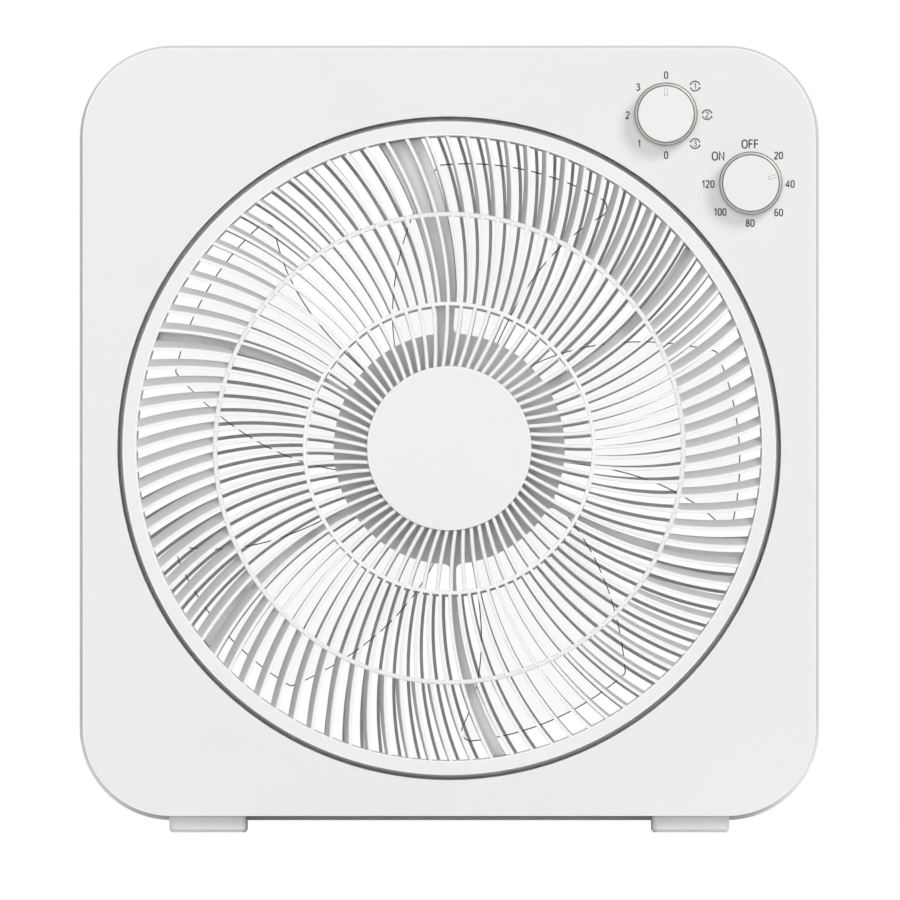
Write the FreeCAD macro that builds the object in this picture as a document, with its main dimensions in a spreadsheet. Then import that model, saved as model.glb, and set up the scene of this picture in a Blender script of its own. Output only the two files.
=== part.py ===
import FreeCAD
import Part
import Sketcher
import math
import os
from FreeCAD import Placement, Rotation, Vector

# Box fan with a slowly turning louvre, a speed knob and a timer knob. Millimetres.
# Every piece is drawn in the fan frame: x to the right, y up and z towards the viewer,
# with its origin on the fan axis in the front face of the casing. The same placement
# then stands each piece upright, with the floor at Z = 0 and the front facing -Y.

SIZES = {
    # casing
    "case_width": 365,
    "case_height": 382.5,
    "case_depth": 122,
    "case_corner": 45.5,
    "axis_height": 189.2,
    "shell_step": 2,
    "lap_clearance": 0.2,
    "seam_depth": 40,
    "lap_length": 6,
    "panel_wall": 2.5,
    "skirt_wall": 2,
    "back_wall": 2.5,
    "front_round": 3,
    "back_round": 6,
    "post_inset": 25,
    "post_radius": 5,
    "tube_wall": 2,
    "tube_end": 3,
    # feet
    "foot_height": 6,
    "foot_width": 38,
    "foot_spacing": 238,
    "foot_setback": 8,
    "foot_corner": 3,
    "foot_chamfer": 1.4,
    "foot_gap": 0.1,
    "foot_screw_inset": 14,
    "foot_boss_height": 11,
    # grip and cable inlet in the back
    "grip_width": 104,
    "grip_height": 14.5,
    "grip_depth": 26,
    "grip_wall": 2,
    "grip_land": 2,
    "gland_across": 122,
    "gland_down": 152,
    "gland_bore": 3.6,
    "gland_wall": 1.8,
    "gland_flange": 2.6,
    "gland_flange_wall": 1.2,
    "gland_inside": 2,
    # round opening and louvre recess of the front
    "opening_radius": 163.5,
    "collar_wall": 2.5,
    "recess_depth": 18,
    "floor_wall": 2.5,
    "lip_radius": 153.5,
    # air duct and rear guard
    "duct_radius": 160,
    "duct_wall": 2,
    "duct_gap": 0.4,
    "duct_fit": 0.2,
    "duct_flange_wall": 2.5,
    "flange_width": 12,
    "flange_wall": 2.2,
    "flange_set": 2.2,
    "flange_clearance": 0.3,
    "seat_wall": 3.6,
    "guard_screw_count": 6,
    "guard_ring_wall": 2.6,
    "guard_rib_count": 100,
    "guard_hub_rib_count": 64,
    "guard_rib_width": 1.6,
    "guard_rib_depth": 12,
    "guard_rib_phase": 1.3,
    "guard_hub_rib_phase": 0.75,
    "guard_inner_ring": 71.8,
    "guard_ring_width": 1.2,
    "plate_radius": 52,
    "plate_set": 3.2,
    "plate_wall": 3.5,
    # louvre
    "rim_radius": 161,
    "rim_inner_radius": 154,
    "rim_proud": 1,
    "rim_depth": 14,
    "rim_bevel": 1,
    "rim_shoulder": 1.5,
    "rim_shoulder_set": 3.5,
    "mid_ring_radius": 116.5,
    "mid_ring_width": 2.3,
    "inner_ring_radius": 72.2,
    "inner_ring_width": 1.9,
    "ring_depth": 8.5,
    "vane_count": 96,
    "hub_vane_count": 64,
    "vane_width": 1.8,
    "hub_vane_width": 1.6,
    "vane_set": 0.6,
    "vane_depth": 7,
    "vane_sink": 0.4,
    "vane_slant": 30,
    "vane_phase": 0.24,
    "hub_vane_phase": 0.75,
    "sweep_radius": 177.5,
    "sweep_start": 70,
    "hub_radius": 40.5,
    "hub_step": 0.8,
    "hub_wall": 2.5,
    "hub_depth": 13,
    "hub_boss_radius": 9,
    "hub_boss_depth": 11,
    "cap_wall": 2.5,
    "cap_bevel": 1,
    "cap_spigot_radius": 30,
    "cap_spigot_depth": 1.2,
    "fit_clearance": 0.1,
    # louvre bracket
    "arm_count": 6,
    "arm_angle": 31.5,
    "arm_spread": 3,
    "wire_arm_spread": 7.6,
    "arm_front": 17,
    "bracket_wall": 3.5,
    "bracket_hub_radius": 57,
    "bracket_hub_wall": 2.5,
    "arm_root_round": 3,
    "boss_radius": 4,
    "boss_merge": 0.8,
    "bracket_ear_radius": 5,
    # louvre motor
    "synchro_radius": 24.8,
    "synchro_length": 14,
    "synchro_seat": 14,
    "synchro_ear_wall": 1,
    "synchro_ear_pitch": 58,
    "synchro_nose_radius": 6,
    "synchro_nose_height": 1.2,
    "synchro_shaft_radius": 3.5,
    "synchro_shaft_flat": 2.5,
    "cup_wall": 2,
    # fan wheel
    "blade_count": 5,
    "blade_phase": 20.3,
    "blade_wall": 2,
    "blade_margin": 4,
    "blade_tip_margin": 10,
    "blade_lead_tip": 141,
    "blade_trail_tip": 145,
    "blade_lead_root_angle": 33.5,
    "blade_lead_mid_angle": 15.5,
    "blade_trail_root_angle": 28,
    "blade_trail_mid_angle": 28.4,
    "blade_trail_tip_angle": 37.5,
    "blade_front": 30,
    "blade_root_front": 39,
    "blade_camber": 2.5,
    "blade_lead_round": 2.5,
    "blade_trail_round": 5,
    "wheel_hub_radius": 36,
    "wheel_hub_front": 37,
    "wheel_hub_depth": 24,
    "wheel_hub_wall": 2.5,
    "wheel_plate_wall": 3,
    "wheel_boss_radius": 9,
    "wheel_boss_depth": 20.5,
    "spinner_radius": 13,
    "spinner_top_radius": 9,
    "spinner_height": 4.5,
    "pin_radius": 1.5,
    "pin_length": 16,
    # fan motor
    "motor_radius": 40,
    "motor_wall": 1.8,
    "motor_cover_depth": 15.5,
    "stack_length": 20,
    "stator_bore": 22.5,
    "air_gap": 0.3,
    "slot_count": 16,
    "slot_width": 4,
    "slot_depth": 8,
    "winding_radius": 27.5,
    "winding_section": 2.8,
    "winding_gap": 0.6,
    "shaft_radius": 4,
    "shaft_end_radius": 3,
    "bush_clearance": 0.03,
    "bush_wall": 3,
    "bush_length": 8,
    "bush_seat_wall": 3,
    "nose_height": 5,
    "bolt_count": 4,
    "bolt_circle": 34.5,
    "bolt_radius": 1.9,
    "bolt_head_radius": 3.4,
    "bolt_head_height": 2.2,
    "bolt_nut_radius": 3.7,
    "bolt_nut_height": 2.6,
    # controls
    "speed_across": 106.7,
    "speed_up": 164.3,
    "timer_across": 148.5,
    "timer_up": 130.3,
    "knob_radius": 15.6,
    "knob_face_radius": 13.65,
    "knob_height": 14,
    "knob_gap": 0.5,
    "knob_ring_height": 3.2,
    "knob_ring_bevel": 1.2,
    "knob_face_round": 0.8,
    "pointer_width": 1.5,
    "pointer_start": 9,
    "pointer_depth": 0.6,
    "timer_pointer_angle": 15.5,
    "speed_pointer_angle": 90,
    "spindle_radius": 3,
    "spindle_flat": 2.2,
    "spindle_reach": 9,
    "spindle_clearance": 0.3,
    "control_stand": 4,
    "control_ear_wall": 1.5,
    "control_ear_radius": 4.5,
    "speed_body_width": 29,
    "speed_body_depth": 19,
    "speed_ear_pitch": 40,
    "timer_body_radius": 18.5,
    "timer_body_depth": 27,
    "timer_ear_pitch": 48,
    "control_boss_radius": 3.4,
    # capacitor
    "capacitor_across": 134,
    "capacitor_up": 150,
    "capacitor_width": 37,
    "capacitor_height": 25,
    "capacitor_depth": 15,
    "capacitor_round": 2,
    "capacitor_ear_reach": 6,
    # screws
    "screw_radius": 1.5,
    "screw_head_radius": 3,
    "screw_head_height": 2,
    "screw_clearance": 0.25,
    "pilot_clearance": 0.02,
    "case_screw_radius": 1.9,
    "case_screw_head_radius": 3.6,
    "case_screw_head_height": 2.4,
    "screw_bite": 8,
    "case_screw_bite": 14,
    "tip_clearance": 1,
    "drive_share": 0.6,
    "drive_width": 0.9,
    "drive_depth": 1.1,
}

doc = FreeCAD.newDocument("box_fan")
sheet = doc.addObject("Spreadsheet::Sheet", "Sizes")
for row, name in enumerate(SIZES, start=1):
    sheet.set("A%d" % row, name)
    sheet.set("B%d" % row, str(SIZES[name]))
    sheet.setAlias("B%d" % row, name)
doc.recompute()


class Size:
    """A size of the sheet, or sizes put together: its value and the expression that binds it."""

    def __init__(self, value, text):
        self.value = value
        self.text = text

    def __add__(self, other):
        other = as_size(other)
        return Size(self.value + other.value, "(%s + %s)" % (self.text, other.text))

    def __radd__(self, other):
        return as_size(other) + self

    def __sub__(self, other):
        other = as_size(other)
        return Size(self.value - other.value, "(%s - %s)" % (self.text, other.text))

    def __rsub__(self, other):
        return as_size(other) - self

    def __mul__(self, other):
        other = as_size(other)
        return Size(self.value * other.value, "(%s * %s)" % (self.text, other.text))

    def __rmul__(self, other):
        return as_size(other) * self

    def __truediv__(self, other):
        other = as_size(other)
        return Size(self.value / other.value, "(%s / %s)" % (self.text, other.text))

    def __rtruediv__(self, other):
        return as_size(other) / self

    def __neg__(self):
        return Size(-self.value, "(0 - %s)" % self.text)


class Sheet:
    """The sizes of the sheet by name."""

    def __getattr__(self, name):
        return Size(float(sheet.get(name)), "Sizes.%s" % name)


def as_size(number):
    if isinstance(number, Size):
        return number
    return Size(float(number), repr(float(number)))


def along_x(radius, angle):
    """The x of a point at this radius and angle round the fan axis."""
    return Size(radius.value * math.cos(math.radians(angle.value)),
                "(%s * cos(%s))" % (radius.text, angle.text))


def along_y(radius, angle):
    return Size(radius.value * math.sin(math.radians(angle.value)),
                "(%s * sin(%s))" % (radius.text, angle.text))


S = Sheet()
ZERO = as_size(0)
subparts = []


# places shared by several pieces, in the fan frame

PANEL_Y = (S.knob_height - S.case_depth) / 2
CASE_MIDDLE = S.foot_height + S.case_height / 2 - S.axis_height
CASE_BOTTOM = S.foot_height - S.axis_height
FLOOR = -S.axis_height
CASE_TOP = CASE_BOTTOM + S.case_height
FRONT_WIDTH = S.case_width - 2 * S.shell_step
FRONT_HEIGHT = S.case_height - 2 * S.shell_step
FRONT_CORNER = S.case_corner - S.shell_step
POST_X = FRONT_WIDTH / 2 - S.post_inset
POST_TOP = CASE_MIDDLE + FRONT_HEIGHT / 2 - S.post_inset
POST_BOTTOM = CASE_MIDDLE - FRONT_HEIGHT / 2 + S.post_inset
POSTS = [(POST_X, POST_TOP), (-POST_X, POST_TOP), (-POST_X, POST_BOTTOM), (POST_X, POST_BOTTOM)]
SKIRT_BACK = -(S.seam_depth + S.lap_length)
TUBE_FRONT = SKIRT_BACK - S.lap_clearance
BACK = -S.case_depth
BACK_INNER = BACK + S.back_wall
COLLAR_OUTER = S.opening_radius + S.collar_wall
BRACKET_SEAT = -(S.recess_depth + S.floor_wall)
BRACKET_BACK = BRACKET_SEAT - S.bracket_wall
BRACKET_CIRCLE = COLLAR_OUTER + S.boss_radius - S.boss_merge
DUCT_OUTER = S.duct_radius + S.duct_wall
DUCT_FRONT = BRACKET_BACK - S.duct_gap
FLANGE_RADIUS = S.duct_radius + S.flange_width
FLANGE_BACK = BACK + S.flange_set
FLANGE_SEAT = FLANGE_BACK + S.flange_wall
SEAT_FRONT = FLANGE_SEAT + S.seat_wall
GUARD_CIRCLE = DUCT_OUTER + S.boss_radius + S.screw_clearance
PLATE_BACK = BACK + S.plate_set
PLATE_FRONT = PLATE_BACK + S.plate_wall
RIB_BACK = BACK + S.flange_clearance
RIB_FRONT = RIB_BACK + S.guard_rib_depth
STACK_BACK = PLATE_FRONT + S.motor_cover_depth
STACK_FRONT = STACK_BACK + S.stack_length
MOTOR_FRONT = STACK_FRONT + S.motor_cover_depth
HUB_FRONT = -S.wheel_hub_front
HUB_BACK = HUB_FRONT - S.wheel_hub_depth
BOSS_BACK = HUB_FRONT - S.wheel_boss_depth
CAP_BACK = S.rim_proud - S.cap_wall
LOUVRE_PLATE_BACK = CAP_BACK - S.hub_wall
SYNCHRO_SEAT = -S.synchro_seat
SYNCHRO_BACK = SYNCHRO_SEAT - S.synchro_length
CUP_RADIUS = S.synchro_radius + S.fit_clearance
CUP_FLOOR = SYNCHRO_BACK - S.fit_clearance
EAR_FRONT = SYNCHRO_SEAT + S.synchro_ear_wall
BRACKET_HUB_BACK = BRACKET_SEAT - S.bracket_hub_wall + S.bracket_hub_wall / 2
BRACKET_HUB_FRONT = BRACKET_HUB_BACK + S.bracket_hub_wall
CONTROL_SEAT = -(S.panel_wall + S.control_stand)
CONTROL_FRONT = CONTROL_SEAT - S.control_ear_wall
SPINDLE_HOLE = S.spindle_radius + S.spindle_clearance
SPEED_EARS = [(S.speed_across - S.speed_ear_pitch / 2, S.speed_up),
              (S.speed_across + S.speed_ear_pitch / 2, S.speed_up)]
TIMER_EARS = [(S.timer_across, S.timer_up - S.timer_ear_pitch / 2),
              (S.timer_across, S.timer_up + S.timer_ear_pitch / 2)]
CAPACITOR_EAR_X = S.capacitor_width / 2 + S.capacitor_ear_reach - S.capacitor_across
CAPACITOR_EARS = [(CAPACITOR_EAR_X, S.capacitor_up)]
GLAND = (-S.gland_across, -S.gland_down)
GLAND_HOLE = S.gland_bore + S.gland_wall
GRIP_BOTTOM = FLANGE_RADIUS + S.flange_clearance + S.grip_land + S.grip_wall
GRIP_TOP = GRIP_BOTTOM + S.grip_height
SCREW_HOLE = S.screw_radius + S.screw_clearance
PILOT = S.screw_radius + S.pilot_clearance
CASE_HOLE = S.case_screw_radius + S.screw_clearance
CASE_PILOT = S.case_screw_radius + S.pilot_clearance
HEAD_HOLE = S.case_screw_head_radius + S.screw_clearance
TUBE_RADIUS = HEAD_HOLE + S.tube_wall
BOLT_HOLE = S.bolt_radius + S.fit_clearance


# drawing helpers

def stand(item):
    """Stand a piece drawn in the fan frame upright on the floor."""
    item.Placement = Placement(Vector(0, PANEL_Y.value, S.axis_height.value), Rotation(Vector(1, 0, 0), 90))
    item.setExpression("Placement.Base.y", PANEL_Y.text)
    item.setExpression("Placement.Base.z", S.axis_height.text)


def new_body(label, handed_in=True):
    body = doc.addObject("PartDesign::Body", label)
    body.Label = label
    if handed_in:
        stand(body)
        subparts.append(body)
    return body


def sketch_on(body, name, role, offset):
    plane = [item for item in body.Origin.OriginFeatures if item.Role == role][0]
    sketch = body.newObject("Sketcher::SketchObject", name)
    sketch.AttachmentSupport = (plane, [""])
    sketch.MapMode = "FlatFace"
    sketch.AttachmentOffset = Placement(Vector(0, 0, offset.value), Rotation())
    sketch.setExpression("AttachmentOffset.Base.z", offset.text)
    return sketch


def front_sketch(body, name, level):
    """A sketch seen from the front at this z."""
    return sketch_on(body, name, "XY_Plane", as_size(level))


def turn_sketch(body, name):
    """A sketch of radius and z, for a piece turned about the fan axis."""
    return sketch_on(body, name, "XZ_Plane", ZERO)


def hold(sketch, geometry, point, x, y):
    """Hold a point of the sketch at x and y from the sheet."""
    for kind, size in (("DistanceX", as_size(x)), ("DistanceY", as_size(y))):
        index = sketch.addConstraint(Sketcher.Constraint(kind, -1, 1, geometry, point, size.value))
        name = "%s_%d_%d" % (kind, geometry, point)
        sketch.renameConstraint(index, name)
        sketch.setExpression("Constraints." + name, size.text)


def polygon(sketch, corners):
    first = sketch.GeometryCount
    count = len(corners)
    points = [Vector(as_size(x).value, as_size(y).value, 0) for x, y in corners]
    for i in range(count):
        sketch.addGeometry(Part.LineSegment(points[i], points[(i + 1) % count]))
    for i in range(count):
        sketch.addConstraint(Sketcher.Constraint("Coincident", first + i, 2, first + (i + 1) % count, 1))
    for i, (x, y) in enumerate(corners):
        hold(sketch, first + i, 1, x, y)


def rectangle(sketch, left, bottom, right, top):
    polygon(sketch, [(left, bottom), (right, bottom), (right, top), (left, top)])


def hold_radius(sketch, index, radius):
    held = sketch.addConstraint(Sketcher.Constraint("Radius", index, radius.value))
    name = "Radius_%d" % index
    sketch.renameConstraint(held, name)
    sketch.setExpression("Constraints." + name, radius.text)


def circle(sketch, x, y, radius):
    centre = Vector(as_size(x).value, as_size(y).value, 0)
    index = sketch.addGeometry(Part.Circle(centre, Vector(0, 0, 1), radius.value))
    hold(sketch, index, 3, x, y)
    hold_radius(sketch, index, radius)


def rounded_rectangle(sketch, left, bottom, right, top, radius):
    """Four corner arcs, counter-clockwise from the lower right one, joined by tangent sides."""
    centres = [(right - radius, bottom + radius), (right - radius, top - radius),
               (left + radius, top - radius), (left + radius, bottom + radius)]
    arcs = []
    for quarter, (x, y) in enumerate(centres):
        rim = Part.Circle(Vector(x.value, y.value, 0), Vector(0, 0, 1), radius.value)
        start = math.pi / 2 * (quarter - 1)
        arcs.append(sketch.addGeometry(Part.ArcOfCircle(rim, start, start + math.pi / 2)))
        hold(sketch, arcs[-1], 3, x, y)
        hold_radius(sketch, arcs[-1], radius)
    for i, arc in enumerate(arcs):
        following = arcs[(i + 1) % 4]
        side = sketch.addGeometry(Part.LineSegment(sketch.getPoint(arc, 2), sketch.getPoint(following, 1)))
        sketch.addConstraint(Sketcher.Constraint("Tangent", arc, 2, side, 1))
        sketch.addConstraint(Sketcher.Constraint("Tangent", side, 2, following, 1))


def feature(body, kind, name, sketch):
    item = body.newObject("PartDesign::" + kind, name)
    item.Profile = sketch
    sketch.Visibility = False
    return item


def pad(body, name, sketch, length):
    """Raise the sketch towards the viewer by this length."""
    item = feature(body, "Pad", name, sketch)
    item.Length = length.value
    item.setExpression("Length", length.text)
    return item


def pocket(body, name, sketch, length, forward=False):
    """Cut the sketch away backwards, or forwards, by this length."""
    item = feature(body, "Pocket", name, sketch)
    item.Reversed = forward
    item.Length = length.value
    item.setExpression("Length", length.text)
    return item


def turn(body, name, sketch, kind="Revolution"):
    item = feature(body, kind, name, sketch)
    item.ReferenceAxis = (sketch, ["V_Axis"])
    item.Angle = 360
    return item


def spread(body, name, originals, count):
    """Repeat features evenly round the fan axis."""
    doc.recompute()
    item = body.newObject("PartDesign::PolarPattern", name)
    item.Originals = originals
    axis = [a for a in body.Origin.OriginFeatures if a.Role == "Z_Axis"][0]
    item.Axis = (axis, [""])
    item.Angle = 360
    item.Occurrences = int(count.value)
    item.setExpression("Occurrences", count.text)
    body.Tip = item
    return item


def blend(body, name, base, test, radius, kind="Fillet"):
    """Round, or chamfer, the edges of the base feature that pass the test."""
    doc.recompute()
    names = ["Edge%d" % (i + 1) for i, edge in enumerate(base.Shape.Edges) if test(edge)]
    item = body.newObject("PartDesign::" + kind, name)
    item.Base = (base, names)
    size = "Radius" if kind == "Fillet" else "Size"
    setattr(item, size, radius.value)
    item.setExpression(size, radius.text)
    body.Tip = item
    return item


def near(a, b):
    return abs(a - b) < 0.01


def runs_along_z(edge):
    box = edge.BoundBox
    return box.ZLength > 0.1 and box.XLength < 0.01 and box.YLength < 0.01


def level_at(z):
    """Edges that lie flat at this z."""
    return lambda edge: near(edge.BoundBox.ZMin, z.value) and near(edge.BoundBox.ZMax, z.value)


def ring_at(radius, z):
    """Circles of this radius round the fan axis at this z."""
    flat = level_at(z)

    def test(edge):
        box = edge.BoundBox
        return flat(edge) and near(box.XMax, radius.value) and near(box.YMax, radius.value)

    return test


def upright_at(radius):
    """Straight edges along the fan axis that stand at this distance from it."""
    def test(edge):
        middle = edge.BoundBox.Center
        return runs_along_z(edge) and near(math.hypot(middle.x, middle.y), radius.value)

    return test


def discs(body, name, places, radius, low, high):
    """Round posts from z low to z high."""
    sketch = front_sketch(body, name + "_outline", low)
    for x, y in places:
        circle(sketch, x, y, radius)
    return pad(body, name, sketch, high - low)


def bores(body, name, places, radius, high, low):
    """Round holes cut from z high back to z low."""
    sketch = front_sketch(body, name + "_outline", high)
    for x, y in places:
        circle(sketch, x, y, radius)
    return pocket(body, name, sketch, high - low)


def turned(label, profile, handed_in=True):
    """A piece turned about the fan axis from corners of radius and z."""
    body = new_body(label, handed_in)
    sketch = turn_sketch(body, label + "_profile")
    polygon(sketch, profile)
    turn(body, label + "_turn", sketch)
    return body


def screws(label, places, seat, head_height, tip, radius, head_radius):
    """Screws with their heads behind the seat and their tips in front of it."""
    body = new_body(label)
    discs(body, label + "_shanks", places, radius, seat, tip)
    discs(body, label + "_heads", places, head_radius, seat - head_height, seat)
    sketch = front_sketch(body, label + "_drive_outline", seat - head_height)
    half = head_radius * S.drive_share
    for x, y in places:
        rectangle(sketch, x - half, y - S.drive_width / 2, x + half, y + S.drive_width / 2)
    pocket(body, label + "_drive", sketch, S.drive_depth, forward=True)
    return body


def sweep_point(offset, radius):
    """Where a rib side, this far from the middle line of the rib, crosses a radius."""
    reach = S.sweep_radius.value - offset
    centre = math.hypot(S.sweep_start.value, S.sweep_radius.value)
    lean = math.atan2(S.sweep_radius.value, S.sweep_start.value)
    part = math.acos((radius ** 2 + centre ** 2 - reach ** 2) / (2 * radius * centre))
    return Vector(radius * math.cos(lean - part), radius * math.sin(lean - part), 0)


def sweep_angle(radius):
    """How far round the axis a swept rib has come at this radius."""
    start, reach = S.sweep_start, S.sweep_radius
    centre = math.hypot(start.value, reach.value)
    lean = math.atan2(reach.value, start.value)
    part = math.acos((radius.value ** 2 + start.value ** 2) / (2 * radius.value * centre))
    text = "((atan(%s / %s) - acos((%s ^ 2 + %s ^ 2) / (2 * %s * sqrt(%s ^ 2 + %s ^ 2)))) / 1 deg)" % (
        reach.text, start.text, radius.text, start.text, radius.text, start.text, reach.text)
    return Size(math.degrees(lean - part), text)


def about_axis(point, degrees):
    return Rotation(Vector(0, 0, 1), degrees).multVec(point)


def rib_side(inner, outer, offset, chords, angle):
    """Points along one side of a swept rib, from the inner radius to the outer one."""
    radii = [inner + (outer - inner) * i / chords for i in range(chords + 1)]
    return [about_axis(sweep_point(offset, radius), angle) for radius in radii]


def closed(points):
    return Part.makePolygon(points + points[:1])


def gaps(inner, outer, width, count, phase, chords):
    """Outlines of the gaps between swept ribs, one ring of them between two radii."""
    step = 360 / count
    outlines = []
    for i in range(count):
        near_side = rib_side(inner, outer, width / 2, chords, phase + i * step)
        far_side = rib_side(inner, outer, -width / 2, chords, phase + (i + 1) * step)
        outlines.append(closed(near_side + far_side[::-1]))
    return outlines


def trimmed(side, inner, outer):
    """A rib side with its end runs drawn out, or cut back, to two radii."""
    ends = []
    for inside, end, radius, way in ((side[1], side[0], inner, -1), (side[-2], side[-1], outer, 1)):
        run = (end - inside).normalize()
        along = inside.dot(run)
        ends.append(inside + run * (way * math.sqrt(along ** 2 + radius ** 2 - inside.dot(inside)) - along))
    return [ends[0]] + side[1:-1] + [ends[1]]


def slanted_gap(near_side, far_side, inner, outer, top, bottom, lean):
    """A gap between two vanes that lean one way with depth, with upright ends at two radii."""
    loops = []
    for level in (top, bottom):
        shift = Vector(0, lean * (top - level), 0)
        sides = [trimmed([point + shift for point in side], inner, outer) for side in (near_side, far_side)]
        loops.append([Vector(point.x, point.y, level) for point in sides[0] + sides[1][::-1]])
    faces = [Part.Face(closed(loop)) for loop in loops]
    count = len(loops[0])
    for i in range(count):
        following = (i + 1) % count
        a, b = loops[0][i], loops[0][following]
        c, d = loops[1][following], loops[1][i]
        if following % (count // 2) == 0:
            faces += [Part.Face(closed([a, b, c])), Part.Face(closed([a, c, d]))]
        else:
            faces.append(Part.Face(closed([a, b, c, d])))
    shell = Part.makeShell(faces)
    shell.sewShape()
    solid = Part.makeSolid(shell)
    if solid.Volume < 0:
        solid.reverse()
    return solid


def lattice(inner, outer, outlines, back, front):
    """A flat ring between two radii, pierced by the gaps."""
    rims = [Part.Wire(Part.makeCircle(radius, Vector(0, 0, 0))) for radius in (outer, inner)]
    face = Part.makeFace(rims + outlines, "Part::FaceMakerCheese")
    face.translate(Vector(0, 0, back))
    return face.extrude(Vector(0, 0, front - back))


def turned_zone(corners):
    """A solid turned from corners of radius and z."""
    points = [Vector(r, 0, z) for r, z in corners]
    face = Part.Face(Part.makePolygon(points + points[:1]))
    return face.revolve(Vector(0, 0, 0), Vector(0, 0, 1), 360)


def fused(label, pieces):
    """One moulding out of several drawn forms."""
    item = doc.addObject("Part::MultiFuse", label)
    item.Label = label
    item.Shapes = pieces
    stand(item)
    subparts.append(item)
    return item


def formed(name, shape):
    """A form that no sketch gives, set from the sizes of the sheet."""
    item = doc.addObject("Part::Feature", name)
    item.Shape = shape
    return item


def arm_outline(sketch, inner, outer, spread_angle):
    """An arm between two swept arcs that spread by an angle, from one radius to another."""
    guides = []
    for radius in (inner, outer):
        circle(sketch, ZERO, ZERO, radius)
        guides.append(sketch.GeometryCount - 1)
        sketch.setConstruction(guides[-1], True)
    sides = []
    for half in (spread_angle / 2, -spread_angle / 2):
        x = along_x(S.sweep_start, half) - along_y(S.sweep_radius, half)
        y = along_y(S.sweep_start, half) + along_x(S.sweep_radius, half)
        ends = [about_axis(sweep_point(0, radius.value), half.value) for radius in (inner, outer)]
        angles = [math.atan2(end.y - y.value, end.x - x.value) for end in ends]
        rim = Part.Circle(Vector(x.value, y.value, 0), Vector(0, 0, 1), S.sweep_radius.value)
        index = sketch.addGeometry(Part.ArcOfCircle(rim, angles[0], angles[1]))
        hold(sketch, index, 3, x, y)
        for point, guide in zip((1, 2), guides):
            sketch.addConstraint(Sketcher.Constraint("PointOnObject", index, point, guide))
        sides.append((index, ends))
    for point in (1, 2):
        line = sketch.addGeometry(Part.LineSegment(sides[0][1][point - 1], sides[1][1][point - 1]))
        for end, (index, ends) in zip((1, 2), sides):
            sketch.addConstraint(Sketcher.Constraint("Coincident", line, end, index, point))


def arm(body, name, inner, outer, low, high, angle, spread_angle):
    sketch = front_sketch(body, name + "_outline", low)
    sketch.AttachmentOffset = Placement(Vector(0, 0, low.value), Rotation(Vector(0, 0, 1), angle.value))
    sketch.setExpression("AttachmentOffset.Rotation.Angle", angle.text)
    arm_outline(sketch, inner, outer, spread_angle)
    return pad(body, name, sketch, high - low)


# front shell: panel, skirt, collar with its floor, bosses and posts

shell = new_body("front_shell")
outline = front_sketch(shell, "front_outline", SKIRT_BACK)
rounded_rectangle(outline, -FRONT_WIDTH / 2, CASE_MIDDLE - FRONT_HEIGHT / 2, FRONT_WIDTH / 2,
                  CASE_MIDDLE + FRONT_HEIGHT / 2, FRONT_CORNER)
block = pad(shell, "front_block", outline, -SKIRT_BACK)
blend(shell, "front_edge", block, level_at(ZERO), S.front_round)
inside = front_sketch(shell, "front_inside", -S.panel_wall)
rounded_rectangle(inside, S.skirt_wall - FRONT_WIDTH / 2, CASE_MIDDLE - FRONT_HEIGHT / 2 + S.skirt_wall,
                  FRONT_WIDTH / 2 - S.skirt_wall, CASE_MIDDLE + FRONT_HEIGHT / 2 - S.skirt_wall,
                  FRONT_CORNER - S.skirt_wall)
pocket(shell, "front_hollow", inside, -SKIRT_BACK - S.panel_wall)
bores(shell, "front_opening", [(ZERO, ZERO)], S.opening_radius, ZERO, -S.panel_wall)
collar = turn_sketch(shell, "collar_profile")
polygon(collar, [(S.opening_radius, -S.panel_wall / 2), (COLLAR_OUTER, -S.panel_wall / 2),
                 (COLLAR_OUTER, BRACKET_SEAT), (S.lip_radius, BRACKET_SEAT),
                 (S.lip_radius, -S.recess_depth), (S.opening_radius, -S.recess_depth)])
turn(shell, "collar", collar)
EAR_ANGLE = S.arm_angle + sweep_angle(BRACKET_CIRCLE)
BRACKET_PLACE = [(along_x(BRACKET_CIRCLE, EAR_ANGLE), along_y(BRACKET_CIRCLE, EAR_ANGLE))]
boss = discs(shell, "bracket_boss", BRACKET_PLACE, S.boss_radius, BRACKET_SEAT, -S.panel_wall / 2)
pilot = bores(shell, "bracket_pilot", BRACKET_PLACE, PILOT, BRACKET_SEAT + S.screw_bite + S.tip_clearance,
              BRACKET_SEAT)
spread(shell, "bracket_bosses", [boss, pilot], S.arm_count)
discs(shell, "case_posts", POSTS, S.post_radius, SKIRT_BACK, -S.panel_wall / 2)
bores(shell, "case_pilots", POSTS, CASE_PILOT, SKIRT_BACK + S.case_screw_bite + S.tip_clearance, SKIRT_BACK)
CONTROL_EARS = SPEED_EARS + TIMER_EARS + CAPACITOR_EARS
discs(shell, "control_bosses", CONTROL_EARS, S.control_boss_radius, CONTROL_SEAT, -S.panel_wall / 2)
bores(shell, "control_pilots", CONTROL_EARS, PILOT, -S.panel_wall, CONTROL_SEAT)
bores(shell, "spindle_holes", [(S.speed_across, S.speed_up), (S.timer_across, S.timer_up)], SPINDLE_HOLE,
      ZERO, -S.panel_wall)

# rear shell: tray with the guard seat, screw tubes, foot bosses, the grip and the cable inlet

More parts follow.
